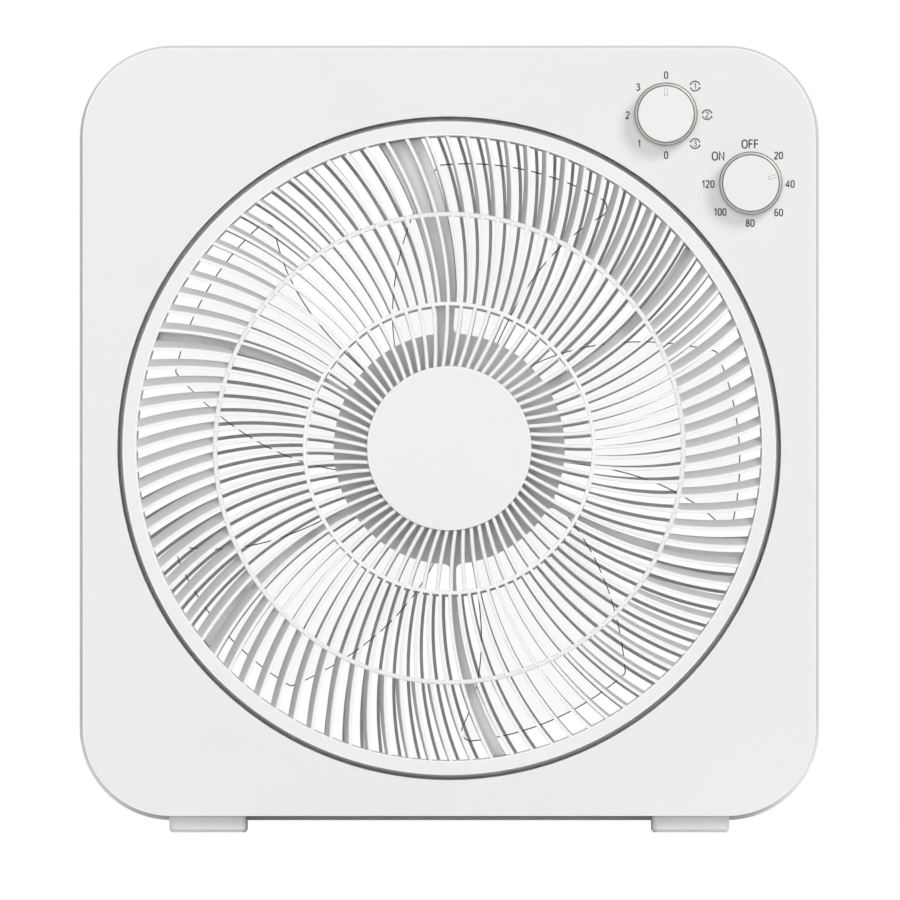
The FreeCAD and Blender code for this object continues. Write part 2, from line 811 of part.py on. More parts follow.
tray = new_body("rear_shell")
outline = front_sketch(tray, "rear_outline", BACK)
rounded_rectangle(outline, -S.case_width / 2, CASE_BOTTOM, S.case_width / 2, CASE_TOP, S.case_corner)
block = pad(tray, "rear_block", outline, S.case_depth - S.seam_depth)
blend(tray, "rear_edge", block, level_at(BACK), S.back_round)
REAR_WALL = S.shell_step - S.lap_clearance
inside = front_sketch(tray, "rear_inside", -S.seam_depth)
rounded_rectangle(inside, REAR_WALL - S.case_width / 2, CASE_BOTTOM + REAR_WALL,
                  S.case_width / 2 - REAR_WALL,
                  CASE_TOP - REAR_WALL, S.case_corner - REAR_WALL)
pocket(tray, "rear_hollow", inside, S.case_depth - S.seam_depth - S.back_wall)
seat = turn_sketch(tray, "guard_seat_profile")
SEAT_OUTER = FLANGE_RADIUS + S.flange_clearance + S.grip_land
DUCT_HOLE = DUCT_OUTER + S.duct_fit
polygon(seat, [(DUCT_HOLE, SEAT_FRONT), (SEAT_OUTER, SEAT_FRONT), (SEAT_OUTER, BACK + S.back_wall / 2),
               (DUCT_HOLE, BACK + S.back_wall / 2)])
turn(tray, "guard_seat", seat)
bores(tray, "rear_opening", [(ZERO, ZERO)], DUCT_HOLE, SEAT_FRONT, BACK)
bores(tray, "guard_recess", [(ZERO, ZERO)], FLANGE_RADIUS + S.flange_clearance, FLANGE_SEAT, BACK)
discs(tray, "case_tubes", POSTS, TUBE_RADIUS, BACK + S.back_wall / 2, TUBE_FRONT)
bores(tray, "case_tube_holes", POSTS, CASE_HOLE, TUBE_FRONT, BACK)
bores(tray, "case_tube_bores", POSTS, HEAD_HOLE, TUBE_FRONT - S.tube_end, BACK)
GUARD_PLACE = [(GUARD_CIRCLE, ZERO)]
hole = bores(tray, "guard_seat_hole", GUARD_PLACE, SCREW_HOLE, SEAT_FRONT, FLANGE_SEAT)
spread(tray, "guard_seat_holes", [hole], S.guard_screw_count)
grip = front_sketch(tray, "grip_outline", BACK + S.back_wall / 2)
rectangle(grip, -S.grip_width / 2 - S.grip_wall, GRIP_BOTTOM - S.grip_wall, S.grip_width / 2 + S.grip_wall,
          GRIP_TOP + S.grip_wall)
pad(tray, "grip_box", grip, S.grip_depth + S.grip_wall - S.back_wall / 2)
grip = front_sketch(tray, "grip_recess_outline", BACK)
rectangle(grip, -S.grip_width / 2, GRIP_BOTTOM, S.grip_width / 2, GRIP_TOP)
pocket(tray, "grip_recess", grip, S.grip_depth, forward=True)
bores(tray, "gland_hole", [GLAND], GLAND_HOLE, BACK_INNER, BACK)
bores(tray, "gland_seat", [GLAND], GLAND_HOLE + S.gland_flange, BACK + S.gland_flange_wall, BACK)
FOOT_BACK = BACK + S.foot_setback
FOOT_FRONT = -S.foot_setback
FOOT_STEP = -(S.seam_depth - S.foot_gap)
FOOT_SCREW_LEVELS = [FOOT_STEP - S.foot_screw_inset, FOOT_BACK + S.foot_screw_inset]
FOOT_PLACES = [(side * S.foot_spacing / 2, level) for side in (-1, 1) for level in FOOT_SCREW_LEVELS]
FOOT_BOSS_TOP = CASE_BOTTOM + S.foot_boss_height
sketch = sketch_on(tray, "foot_boss_outline", "XZ_Plane", -FOOT_BOSS_TOP)
for x, z in FOOT_PLACES:
    circle(sketch, x, z, S.boss_radius)
pad(tray, "foot_bosses", sketch, S.foot_boss_height - REAR_WALL / 2)
sketch = sketch_on(tray, "foot_pilot_outline", "XZ_Plane", -CASE_BOTTOM)
for x, z in FOOT_PLACES:
    circle(sketch, x, z, PILOT)
pocket(tray, "foot_pilots", sketch, S.screw_bite + S.tip_clearance)

# air duct: a tube round the wheel, with a flange in front of the guard seat that takes the guard screws

DUCT_FLANGE_FRONT = SEAT_FRONT + S.duct_flange_wall
duct = turned("air_duct", [
    (S.duct_radius, DUCT_FRONT), (DUCT_OUTER, DUCT_FRONT), (DUCT_OUTER, DUCT_FLANGE_FRONT),
    (FLANGE_RADIUS, DUCT_FLANGE_FRONT), (FLANGE_RADIUS, SEAT_FRONT), (DUCT_OUTER, SEAT_FRONT),
    (DUCT_OUTER, FLANGE_SEAT), (S.duct_radius, FLANGE_SEAT)])
boss = discs(duct, "guard_boss", GUARD_PLACE, S.boss_radius, SEAT_FRONT,
             FLANGE_SEAT + S.screw_bite + 2 * S.tip_clearance)
pilot = bores(duct, "guard_pilot", GUARD_PLACE, PILOT, FLANGE_SEAT + S.screw_bite + S.tip_clearance,
              SEAT_FRONT)
spread(duct, "guard_bosses", [boss, pilot], S.guard_screw_count)

# feet: a bar under each side, stepped to fit under both shells

HEAD_POCKET = S.foot_height - S.screw_head_height - S.foot_gap


def foot(label, side):
    body = new_body(label)
    middle = side * S.foot_spacing / 2
    sketch = sketch_on(body, label + "_side", "YZ_Plane", middle - S.foot_width / 2)
    front_top = CASE_BOTTOM + S.shell_step - S.foot_gap
    polygon(sketch, [(FLOOR, FOOT_FRONT), (front_top, FOOT_FRONT), (front_top, FOOT_STEP),
                     (CASE_BOTTOM, FOOT_STEP), (CASE_BOTTOM, FOOT_BACK), (FLOOR, FOOT_BACK)])
    bar = pad(body, label + "_bar", sketch, S.foot_width)

    def upright(edge):
        box = edge.BoundBox
        ends = near(box.ZMin, FOOT_FRONT.value) or near(box.ZMin, FOOT_BACK.value)
        return ends and box.YLength > 1 and box.XLength < 0.01 and box.ZLength < 0.01

    rounded = blend(body, label + "_corners", bar, upright, S.foot_corner)

    def sole(edge):
        return near(edge.BoundBox.YMax, FLOOR.value)

    blend(body, label + "_sole_edge", rounded, sole, S.foot_chamfer, "Chamfer")
    places = [(middle, level) for level in FOOT_SCREW_LEVELS]
    for name, radius, height in (("_holes", SCREW_HOLE, S.foot_height),
                                 ("_heads", S.screw_head_radius + S.screw_clearance, HEAD_POCKET / 2)):
        sketch = sketch_on(body, label + name + "_outline", "XZ_Plane", -FLOOR)
        for x, z in places:
            circle(sketch, x, z, radius)
        pocket(body, label + name, sketch, height)


foot("left_foot", -1)
foot("right_foot", 1)

FOOT_HEAD_SEAT = FLOOR + HEAD_POCKET / 2
fixings = new_body("foot_screws")
for name, radius, top, length in (("shanks", S.screw_radius, CASE_BOTTOM + S.screw_bite,
                                   CASE_BOTTOM + S.screw_bite - FOOT_HEAD_SEAT),
                                  ("heads", S.screw_head_radius, FOOT_HEAD_SEAT,
                                   HEAD_POCKET / 2 - S.foot_gap)):
    sketch = sketch_on(fixings, "foot_screw_" + name + "_outline", "XZ_Plane", -top)
    for x, z in FOOT_PLACES:
        circle(sketch, x, z, radius)
    pad(fixings, "foot_screw_" + name, sketch, length)

# rear guard: flange, rings, swept ribs and the plate that carries the motor

GUARD_RING = S.duct_radius - S.flange_clearance
GUARD_RING_INNER = GUARD_RING - S.guard_ring_wall
BOLT_PLACE = [(S.bolt_circle, ZERO)]
frame = turned("rear_guard_flange", [
    (GUARD_RING - S.boss_merge, FLANGE_BACK), (FLANGE_RADIUS, FLANGE_BACK), (FLANGE_RADIUS, FLANGE_SEAT),
    (GUARD_RING - S.boss_merge, FLANGE_SEAT)], handed_in=False)
hole = bores(frame, "guard_hole", [(GUARD_CIRCLE, ZERO)], SCREW_HOLE, FLANGE_SEAT, FLANGE_BACK)
spread(frame, "guard_holes", [hole], S.guard_screw_count)
PLATE_EDGE = S.plate_radius - S.guard_ring_width / 2
plate = turned("rear_guard_plate", [
    (ZERO, PLATE_BACK), (PLATE_EDGE, PLATE_BACK), (PLATE_EDGE, PLATE_FRONT), (ZERO, PLATE_FRONT)],
               handed_in=False)
hole = bores(plate, "plate_hole", BOLT_PLACE, BOLT_HOLE, PLATE_FRONT, PLATE_BACK)
spread(plate, "plate_holes", [hole], S.bolt_count)
half_ring = S.guard_ring_width.value / 2
width = S.guard_rib_width.value
inner_ring = S.guard_inner_ring.value
count = int(S.guard_rib_count.value)
openings = gaps(S.plate_radius.value, inner_ring - half_ring, width, int(S.guard_hub_rib_count.value),
                S.guard_hub_rib_phase.value, 1)
openings += gaps(inner_ring + half_ring, GUARD_RING_INNER.value, width, count, S.guard_rib_phase.value, 2)
ribs = formed("rear_guard_ribs", lattice(S.plate_radius.value - S.guard_ring_width.value,
                                         GUARD_RING.value, openings, RIB_BACK.value, RIB_FRONT.value))
fused("rear_guard", [frame, plate, ribs])

# louvre: rim, rings and hub, straight ribs inside and vanes slanted one way in the outer ring

RIM_BACK = -S.rim_depth
RIM_EDGE = S.rim_inner_radius + S.vane_sink
SHOULDER = S.rim_radius + S.rim_shoulder
rim = turned("louvre_rim", [
    (RIM_EDGE, RIM_BACK), (SHOULDER, RIM_BACK), (SHOULDER, -S.rim_shoulder_set),
    (S.rim_radius, -S.rim_shoulder_set), (S.rim_radius, S.rim_proud - S.rim_bevel),
    (S.rim_radius - S.rim_bevel, S.rim_proud), (RIM_EDGE + S.rim_bevel, S.rim_proud),
    (RIM_EDGE, S.rim_proud - S.rim_bevel)], handed_in=False)
SKIRT_OUTER = S.hub_radius - S.hub_step
SHAFT_BORE = S.synchro_shaft_radius + S.fit_clearance
LOUVRE_SCREW_SEAT = CAP_BACK - S.cap_spigot_depth - S.screw_head_height - S.fit_clearance
HUB_BOSS_BACK = -S.hub_boss_depth
SPIGOT_HOLE = S.cap_spigot_radius + S.fit_clearance
SPIGOT_FLOOR = CAP_BACK - S.cap_spigot_depth - S.fit_clearance
hub = turned("louvre_hub", [
    (SCREW_HOLE, SPIGOT_FLOOR), (SPIGOT_HOLE, SPIGOT_FLOOR), (SPIGOT_HOLE, CAP_BACK),
    (SKIRT_OUTER, CAP_BACK), (SKIRT_OUTER, -S.hub_depth), (SKIRT_OUTER - S.hub_wall, -S.hub_depth),
    (SKIRT_OUTER - S.hub_wall, LOUVRE_PLATE_BACK), (S.hub_boss_radius, LOUVRE_PLATE_BACK),
    (S.hub_boss_radius, HUB_BOSS_BACK), (SCREW_HOLE, HUB_BOSS_BACK)], handed_in=False)
CENTRE = [(ZERO, ZERO)]
HEAD_BORE = S.screw_head_radius + S.screw_clearance
SHAFT_TOP = LOUVRE_SCREW_SEAT - S.hub_step
bores(hub, "louvre_screw_head", CENTRE, HEAD_BORE, SPIGOT_FLOOR, LOUVRE_SCREW_SEAT)
bores(hub, "louvre_shaft_bore", CENTRE, SHAFT_BORE, SHAFT_TOP, HUB_BOSS_BACK)
key = front_sketch(hub, "louvre_key_outline", HUB_BOSS_BACK)
rectangle(key, -S.synchro_shaft_radius, S.synchro_shaft_flat + S.fit_clearance, S.synchro_shaft_radius,
          S.hub_boss_radius - S.boss_merge)
pad(hub, "louvre_key", key, SHAFT_TOP - HUB_BOSS_BACK)
VANE_FRONT = -S.vane_set
RING_BACK = -S.ring_depth
vane_top = VANE_FRONT.value
ring_back = RING_BACK.value
inner_out = S.inner_ring_radius.value
inner_in = inner_out - S.inner_ring_width.value
mid_out = S.mid_ring_radius.value
mid_in = mid_out - S.mid_ring_width.value
skirt = SKIRT_OUTER.value
cap_edge = S.hub_radius.value + S.fit_clearance.value
count = int(S.vane_count.value)
root = skirt - S.hub_wall.value / 4
openings = gaps(root, inner_in, S.hub_vane_width.value, int(S.hub_vane_count.value),
                S.hub_vane_phase.value, 1)
openings += gaps(inner_out, mid_in, S.vane_width.value, count, S.vane_phase.value, 2)
mid_middle = (mid_in + mid_out) / 2
room_back = CAP_BACK.value - S.fit_clearance.value
cap_room = Part.makeCylinder(cap_edge, -room_back, Vector(0, 0, room_back))
plate = lattice(skirt - S.hub_wall.value / 2, mid_middle, openings, ring_back, vane_top)
flat_ribs = formed("louvre_flat_ribs", plate.cut(cap_room))
rim_middle = (S.rim_inner_radius.value + S.rim_radius.value) / 2
rim_inner = S.rim_inner_radius.value
vane_back = -S.vane_depth.value
past = S.vane_sink.value
lean = math.tan(math.radians(S.vane_slant.value))
ring = turned_zone([(mid_middle, vane_top), (rim_middle, vane_top), (rim_middle, vane_back),
                    (mid_middle, vane_back)])
cuts = []
for i in range(count):
    sides = [rib_side(mid_out, rim_inner, side * S.vane_width.value / 2, 2,
                      S.vane_phase.value + 360 * place / count)
             for side, place in ((1, i), (-1, i + 1))]
    start = Vector(0, -lean * past, 0)
    sides = [[point + start for point in side] for side in sides]
    cuts.append(slanted_gap(sides[0], sides[1], mid_out, rim_inner, vane_top + past, vane_back - past,
                            lean))
vanes = formed("louvre_vanes", ring.cut(Part.makeCompound(cuts)))
fused("louvre_grille", [rim, hub, flat_ribs, vanes])

cap = turned("louvre_cap", [
    (ZERO, S.rim_proud), (S.hub_radius, S.rim_proud), (S.hub_radius, CAP_BACK),
    (S.cap_spigot_radius, CAP_BACK), (S.cap_spigot_radius, CAP_BACK - S.cap_spigot_depth),
    (ZERO, CAP_BACK - S.cap_spigot_depth)])
blend(cap, "cap_edge", cap.Tip, ring_at(S.hub_radius, S.rim_proud), S.cap_bevel, "Chamfer")

# louvre bracket: the hub plate with the cup of the louvre motor, and six swept arms that end in ears

CUP_OUTER = CUP_RADIUS + S.cup_wall
bracket = turned("louvre_bracket", [
    (ZERO, CUP_FLOOR), (CUP_RADIUS, CUP_FLOOR), (CUP_RADIUS, SYNCHRO_SEAT), (CUP_OUTER, SYNCHRO_SEAT),
    (CUP_OUTER, BRACKET_HUB_FRONT), (S.bracket_hub_radius, BRACKET_HUB_FRONT),
    (S.bracket_hub_radius, BRACKET_HUB_BACK), (CUP_OUTER, BRACKET_HUB_BACK),
    (CUP_OUTER, CUP_FLOOR - S.cup_wall), (ZERO, CUP_FLOOR - S.cup_wall)])
ARM_INNER = S.hub_radius + S.hub_step
ARM_REACH = S.lip_radius - S.fit_clearance
low_arm = arm(bracket, "arm_foot", ARM_INNER, BRACKET_CIRCLE, BRACKET_BACK, BRACKET_SEAT, S.arm_angle,
              S.arm_spread)
high_arm = arm(bracket, "arm_web", ARM_INNER, ARM_REACH, BRACKET_BACK, -S.arm_front, S.arm_angle,
               S.arm_spread)
ear = discs(bracket, "bracket_ear", BRACKET_PLACE, S.bracket_ear_radius, BRACKET_BACK, BRACKET_SEAT)
ear_hole = bores(bracket, "bracket_ear_hole", BRACKET_PLACE, SCREW_HOLE, BRACKET_SEAT, BRACKET_BACK)
spread(bracket, "arms", [low_arm, high_arm, ear, ear_hole], S.arm_count)
WIRE_ANGLE = S.arm_angle + 360 / S.arm_count
WIRE_ARM_REACH = (S.lip_radius + COLLAR_OUTER) / 2
arm(bracket, "wire_arm_foot", ARM_INNER, WIRE_ARM_REACH, BRACKET_BACK, BRACKET_SEAT, WIRE_ANGLE,
    S.wire_arm_spread)
arm(bracket, "wire_arm_web", ARM_INNER, ARM_REACH, BRACKET_BACK, -S.arm_front, WIRE_ANGLE,
    S.wire_arm_spread)
blend(bracket, "arm_roots", bracket.Tip, upright_at(S.bracket_hub_radius), S.arm_root_round)
SYNCHRO_EARS = [(side * S.synchro_ear_pitch / 2, ZERO) for side in (-1, 1)]
discs(bracket, "synchro_posts", SYNCHRO_EARS, S.boss_radius, BRACKET_HUB_BACK, SYNCHRO_SEAT)
bores(bracket, "synchro_pilots", SYNCHRO_EARS, PILOT, SYNCHRO_SEAT, BRACKET_HUB_BACK)

# louvre motor: can with two ears and a nose, and its output shaft

motor = new_body("louvre_motor")
discs(motor, "synchro_can", CENTRE, S.synchro_radius, SYNCHRO_BACK, EAR_FRONT)
sketch = front_sketch(motor, "synchro_ear_outline", SYNCHRO_SEAT)
rectangle(sketch, -S.synchro_ear_pitch / 2, -S.boss_radius, S.synchro_ear_pitch / 2, S.boss_radius)
pad(motor, "synchro_ears", sketch, S.synchro_ear_wall)
discs(motor, "synchro_ear_ends", SYNCHRO_EARS, S.boss_radius, SYNCHRO_SEAT, EAR_FRONT)
discs(motor, "synchro_nose", CENTRE, S.synchro_nose_radius, SYNCHRO_SEAT, EAR_FRONT + S.synchro_nose_height)
bores(motor, "synchro_ear_holes", SYNCHRO_EARS, SCREW_HOLE, EAR_FRONT, SYNCHRO_SEAT)
SYNCHRO_BORE = S.synchro_shaft_radius + S.bush_clearance
SHAFT_BOTTOM = SYNCHRO_BACK + 2 * S.synchro_ear_wall
bores(motor, "synchro_bore", CENTRE, SYNCHRO_BORE, EAR_FRONT + S.synchro_nose_height,
      SHAFT_BOTTOM - S.fit_clearance)

shaft = new_body("louvre_shaft")
discs(shaft, "louvre_shaft_bar", CENTRE, S.synchro_shaft_radius, SHAFT_BOTTOM, SHAFT_TOP - S.fit_clearance)
sketch = front_sketch(shaft, "louvre_shaft_flat_outline", SHAFT_TOP)
rectangle(sketch, -S.synchro_shaft_radius, S.synchro_shaft_flat, S.synchro_shaft_radius,
          2 * S.synchro_shaft_radius)
pocket(shaft, "louvre_shaft_flat", sketch, SHAFT_TOP - HUB_BOSS_BACK + S.fit_clearance)
LOUVRE_SCREW_TIP = SHAFT_TOP - S.screw_bite
bores(shaft, "louvre_shaft_thread", CENTRE, PILOT, SHAFT_TOP, LOUVRE_SCREW_TIP - S.fit_clearance)

fixing = new_body("louvre_screw")
discs(fixing, "louvre_screw_shank", CENTRE, S.screw_radius, LOUVRE_SCREW_TIP, LOUVRE_SCREW_SEAT)
discs(fixing, "louvre_screw_top", CENTRE, S.screw_head_radius, LOUVRE_SCREW_SEAT,
      LOUVRE_SCREW_SEAT + S.screw_head_height)

fixings = new_body("louvre_motor_screws")
discs(fixings, "synchro_screw_shanks", SYNCHRO_EARS, S.screw_radius,
      EAR_FRONT - S.screw_bite + S.tip_clearance, EAR_FRONT)
discs(fixings, "synchro_screw_heads", SYNCHRO_EARS, S.screw_head_radius, EAR_FRONT,
      EAR_FRONT + S.screw_head_height / 2)

# fan wheel: hub cup with a keyed boss and five clear, twisted blades

SHAFT_HOLE = S.shaft_radius + S.fit_clearance / 2
wheel_hub = turned("fan_wheel_hub", [
    (SHAFT_HOLE, HUB_FRONT), (S.wheel_hub_radius, HUB_FRONT), (S.wheel_hub_radius, HUB_BACK),
    (S.wheel_hub_radius - S.wheel_hub_wall, HUB_BACK),
    (S.wheel_hub_radius - S.wheel_hub_wall, HUB_FRONT - S.wheel_plate_wall),
    (S.wheel_boss_radius, HUB_FRONT - S.wheel_plate_wall), (S.wheel_boss_radius, BOSS_BACK),
    (SHAFT_HOLE, BOSS_BACK)],
    handed_in=False)
PIN_LEVEL = BOSS_BACK + S.pin_radius
PIN_SLOT = S.pin_radius + S.fit_clearance
sketch = front_sketch(wheel_hub, "pin_slot_outline", BOSS_BACK)
rectangle(sketch, -S.wheel_boss_radius, -PIN_SLOT, S.wheel_boss_radius, PIN_SLOT)
pocket(wheel_hub, "pin_slot", sketch, PIN_LEVEL + PIN_SLOT - BOSS_BACK, forward=True)


def through_three(radius, radii, values):
    """The curve through a value at the root, one half way out and one at the tip."""
    total = 0
    for i in range(3):
        share = values[i]
        for j in range(3):
            if j != i:
                share *= (radius - radii[j]) / (radii[i] - radii[j])
        total += share
    return total


ROOT = S.wheel_hub_radius.value
LEAD_TIP = S.blade_lead_tip.value
TRAIL_TIP = S.blade_trail_tip.value


def lead_angle(radius):
    """The angle of the rear, leading edge of a blade, from its corner at the tip."""
    middle = (ROOT + LEAD_TIP) / 2
    return through_three(radius, (ROOT, middle, LEAD_TIP),
                         (S.blade_lead_root_angle.value, S.blade_lead_mid_angle.value, 0))


def trail_angle(radius):
    middle = (ROOT + TRAIL_TIP) / 2
    return through_three(radius, (ROOT, middle, TRAIL_TIP),
                         (-S.blade_trail_root_angle.value, -S.blade_trail_mid_angle.value,
                          -S.blade_trail_tip_angle.value))


def polar(radius, degrees, z):
    return Vector(radius * math.cos(math.radians(degrees)), radius * math.sin(math.radians(degrees)), z)


def blade_slab():
    """The twisted, cambered sheet of a blade, a little larger than its outline."""
    front_root = -S.blade_root_front.value
    front_tip = -S.blade_front.value
    back = HUB_BACK.value + S.blade_wall.value
    rows = []
    for i in range(7):
        radius = ROOT - S.blade_margin.value + (TRAIL_TIP + S.blade_tip_margin.value - ROOT) * i / 6
        out = (radius - ROOT) / (TRAIL_TIP - ROOT)
        front = front_root + (front_tip - front_root) * out
        row = []
        for j in range(7):
            across = -0.1 + 1.2 * j / 6
            angle = lead_angle(radius) + (trail_angle(radius) - lead_angle(radius)) * across
            bow = 4 * S.blade_camber.value * across * (1 - across)
            row.append(polar(radius, angle, back + (front - back) * across + bow))
        rows.append(row)
    sheet_face = Part.BSplineSurface()
    sheet_face.interpolate(rows)
    return sheet_face.toShape().extrude(Vector(0, 0, -S.blade_wall.value))


def blade_outline():
    """The outline of a blade seen along the axis, drawn out through its depth."""
    root = ROOT - S.wheel_hub_wall.value / 2
    steps = [root + (LEAD_TIP - root) * i / 4 for i in range(5)]
    lead = Part.BSplineCurve()
    lead.interpolate([polar(r, lead_angle(r), 0) for r in steps])
    steps = [root + (TRAIL_TIP - root) * i / 4 for i in range(5)]
    trail = Part.BSplineCurve()
    trail.interpolate([polar(r, trail_angle(r), 0) for r in steps])
    tip_lead = polar(LEAD_TIP, lead_angle(LEAD_TIP), 0)
    tip_trail = polar(TRAIL_TIP, trail_angle(TRAIL_TIP), 0)
    tip = Part.Arc(tip_lead, polar((LEAD_TIP + TRAIL_TIP) / 2 + 0.5, trail_angle(TRAIL_TIP) / 2, 0),
                   tip_trail)
    root_edge = Part.makeLine(polar(root, trail_angle(root), 0), polar(root, lead_angle(root), 0))
    wire = Part.Wire([lead.toShape(), tip.toShape(), trail.toShape(), root_edge])
    prism = Part.Face(wire).extrude(Vector(0, 0, HUB_BACK.value - S.blade_tip_margin.value))
    for corner, radius in ((tip_lead, S.blade_lead_round.value), (tip_trail, S.blade_trail_round.value)):
        edges = [e for e in prism.Edges if runs_along_z(e) and math.hypot(e.BoundBox.XMin - corner.x,
                                                                          e.BoundBox.YMin - corner.y) < 0.1]
        prism = prism.makeFillet(radius, edges)
    return prism


blade = blade_slab().common(blade_outline()).Solids[0]
blades = []
for i in range(int(S.blade_count.value)):
    copy = blade.copy()
    copy.rotate(Vector(0, 0, 0), Vector(0, 0, 1), S.blade_phase.value + 360 * i / S.blade_count.value)
    blades.append(copy)
leaves = formed("fan_wheel_blades", Part.makeCompound(blades))
fused("fan_wheel", [wheel_hub, leaves])

SPINNER_FRONT = HUB_FRONT + S.spinner_height
THREAD_TOP = SPINNER_FRONT - S.motor_wall
nut = turned("wheel_nut", [
    (ZERO, SPINNER_FRONT), (S.spinner_top_radius, SPINNER_FRONT),
    (S.spinner_radius, HUB_FRONT + S.spinner_height / 2),
    (S.spinner_radius, HUB_FRONT), (S.shaft_end_radius + S.pilot_clearance, HUB_FRONT),
    (S.shaft_end_radius + S.pilot_clearance, THREAD_TOP), (ZERO, THREAD_TOP)])

# fan motor: covers, bushes, stator, windings, rotor and shaft, held to the guard plate by four long bolts

BUSH_OUTER = S.shaft_radius + S.bush_wall
BUSH_SEAT = BUSH_OUTER + S.bush_seat_wall
NOSE_FRONT = MOTOR_FRONT + S.nose_height
COVER_INNER = S.motor_radius - S.motor_wall
FRONT_BUSH_BACK = NOSE_FRONT - S.bush_length - S.fit_clearance
front_cover = turned("motor_front_cover", [
    (BUSH_OUTER, NOSE_FRONT), (BUSH_SEAT, NOSE_FRONT), (BUSH_SEAT, MOTOR_FRONT),
    (S.motor_radius, MOTOR_FRONT),
    (S.motor_radius, STACK_FRONT), (COVER_INNER, STACK_FRONT), (COVER_INNER, MOTOR_FRONT - S.motor_wall),
    (BUSH_SEAT, MOTOR_FRONT - S.motor_wall), (BUSH_SEAT, FRONT_BUSH_BACK), (BUSH_OUTER, FRONT_BUSH_BACK)])
hole = bores(front_cover, "front_cover_hole", BOLT_PLACE, BOLT_HOLE, MOTOR_FRONT,
             MOTOR_FRONT - S.motor_wall)
spread(front_cover, "front_cover_holes", [hole], S.bolt_count)
REAR_INNER = PLATE_FRONT + S.motor_wall
REAR_BUSH_FRONT = REAR_INNER + S.bush_length + S.motor_wall
rear_cover = turned("motor_rear_cover", [
    (ZERO, PLATE_FRONT), (S.motor_radius, PLATE_FRONT), (S.motor_radius, STACK_BACK),
    (COVER_INNER, STACK_BACK),
    (COVER_INNER, REAR_INNER), (BUSH_SEAT, REAR_INNER), (BUSH_SEAT, REAR_BUSH_FRONT),
    (BUSH_OUTER, REAR_BUSH_FRONT),
    (BUSH_OUTER, REAR_INNER), (ZERO, REAR_INNER)])
hole = bores(rear_cover, "rear_cover_hole", BOLT_PLACE, BOLT_HOLE, REAR_INNER, PLATE_FRONT)
spread(rear_cover, "rear_cover_holes", [hole], S.bolt_count)
BUSH_BORE = S.shaft_radius + S.bush_clearance
for label, low, high in (("motor_front_bush", FRONT_BUSH_BACK, NOSE_FRONT - S.fit_clearance),
                         ("motor_rear_bush", REAR_BUSH_FRONT - S.bush_length, REAR_BUSH_FRONT)):
    turned(label, [(BUSH_BORE, low), (BUSH_OUTER, low), (BUSH_OUTER, high), (BUSH_BORE, high)])
stator = turned("motor_stator", [
    (S.stator_bore, STACK_BACK), (S.motor_radius, STACK_BACK), (S.motor_radius, STACK_FRONT),
    (S.stator_bore, STACK_FRONT)])
sketch = front_sketch(stator, "slot_outline", STACK_FRONT)
rectangle(sketch, S.stator_bore - 1, -S.slot_width / 2, S.stator_bore + S.slot_depth, S.slot_width / 2)
slot = pocket(stator, "slot", sketch, S.stack_length)
spread(stator, "slots", [slot], S.slot_count)
hole = bores(stator, "stator_hole", BOLT_PLACE, BOLT_HOLE, STACK_FRONT, STACK_BACK)
spread(stator, "stator_holes", [hole], S.bolt_count)
winding = new_body("motor_windings")
sketch = turn_sketch(winding, "winding_profile")
for level in (STACK_FRONT + S.winding_gap + S.winding_section,
              STACK_BACK - S.winding_gap - S.winding_section):
    circle(sketch, S.winding_radius, level, S.winding_section)
turn(winding, "winding_rings", sketch)
ROTOR_RADIUS = S.stator_bore - S.air_gap
turned("motor_rotor",
       [(S.shaft_radius, STACK_BACK), (ROTOR_RADIUS, STACK_BACK), (ROTOR_RADIUS, STACK_FRONT),
                       (S.shaft_radius, STACK_FRONT)])
SHAFT_END = REAR_INNER + S.fit_clearance
axle = turned("motor_shaft", [
    (ZERO, SHAFT_END), (S.shaft_radius, SHAFT_END), (S.shaft_radius, HUB_FRONT),
    (S.shaft_end_radius, HUB_FRONT),
    (S.shaft_end_radius, THREAD_TOP - S.fit_clearance), (ZERO, THREAD_TOP - S.fit_clearance)])
sketch = sketch_on(axle, "pin_hole_outline", "YZ_Plane", S.shaft_radius)
circle(sketch, ZERO, PIN_LEVEL, S.pin_radius)
pocket(axle, "pin_hole", sketch, 2 * S.shaft_radius)
pin = new_body("wheel_pin")
sketch = sketch_on(pin, "pin_outline", "YZ_Plane", -S.pin_length / 2)
circle(sketch, ZERO, PIN_LEVEL, S.pin_radius)
pad(pin, "pin_bar", sketch, S.pin_length)
bolts = new_body("motor_bolts")
shank = discs(bolts, "bolt_shank", BOLT_PLACE, S.bolt_radius, BACK + S.fit_clearance, MOTOR_FRONT)
head = discs(bolts, "bolt_head", BOLT_PLACE, S.bolt_head_radius, MOTOR_FRONT,
             MOTOR_FRONT + S.bolt_head_height)
spread(bolts, "bolt_set", [shank, head], S.bolt_count)
nuts = new_body("motor_nuts")
blank = discs(nuts, "nut_blank", BOLT_PLACE, S.bolt_nut_radius, PLATE_BACK - S.bolt_nut_height, PLATE_BACK)
thread = bores(nuts, "nut_thread", BOLT_PLACE, S.bolt_radius + S.pilot_clearance, PLATE_BACK,
               PLATE_BACK - S.bolt_nut_height)
spread(nuts, "nut_set", [blank, thread], S.bolt_count)

# controls: switch and timer behind the panel, each with a spindle, a knob and its trim ring

SPINDLE_TOP = S.spindle_reach


def on_spindle(item, x, y, pointer):
    """Move a piece drawn on the fan axis, pointing right, out to a spindle and turn it to its mark."""
    item.Placement = Placement(Vector(x.value, PANEL_Y.value, S.axis_height.value + y.value),
                               Rotation(Vector(1, 0, 0), 90) * Rotation(Vector(0, 0, 1), pointer.value))
    item.setExpression("Placement.Base.x", x.text)
    item.setExpression("Placement.Base.z", (S.axis_height + y).text)


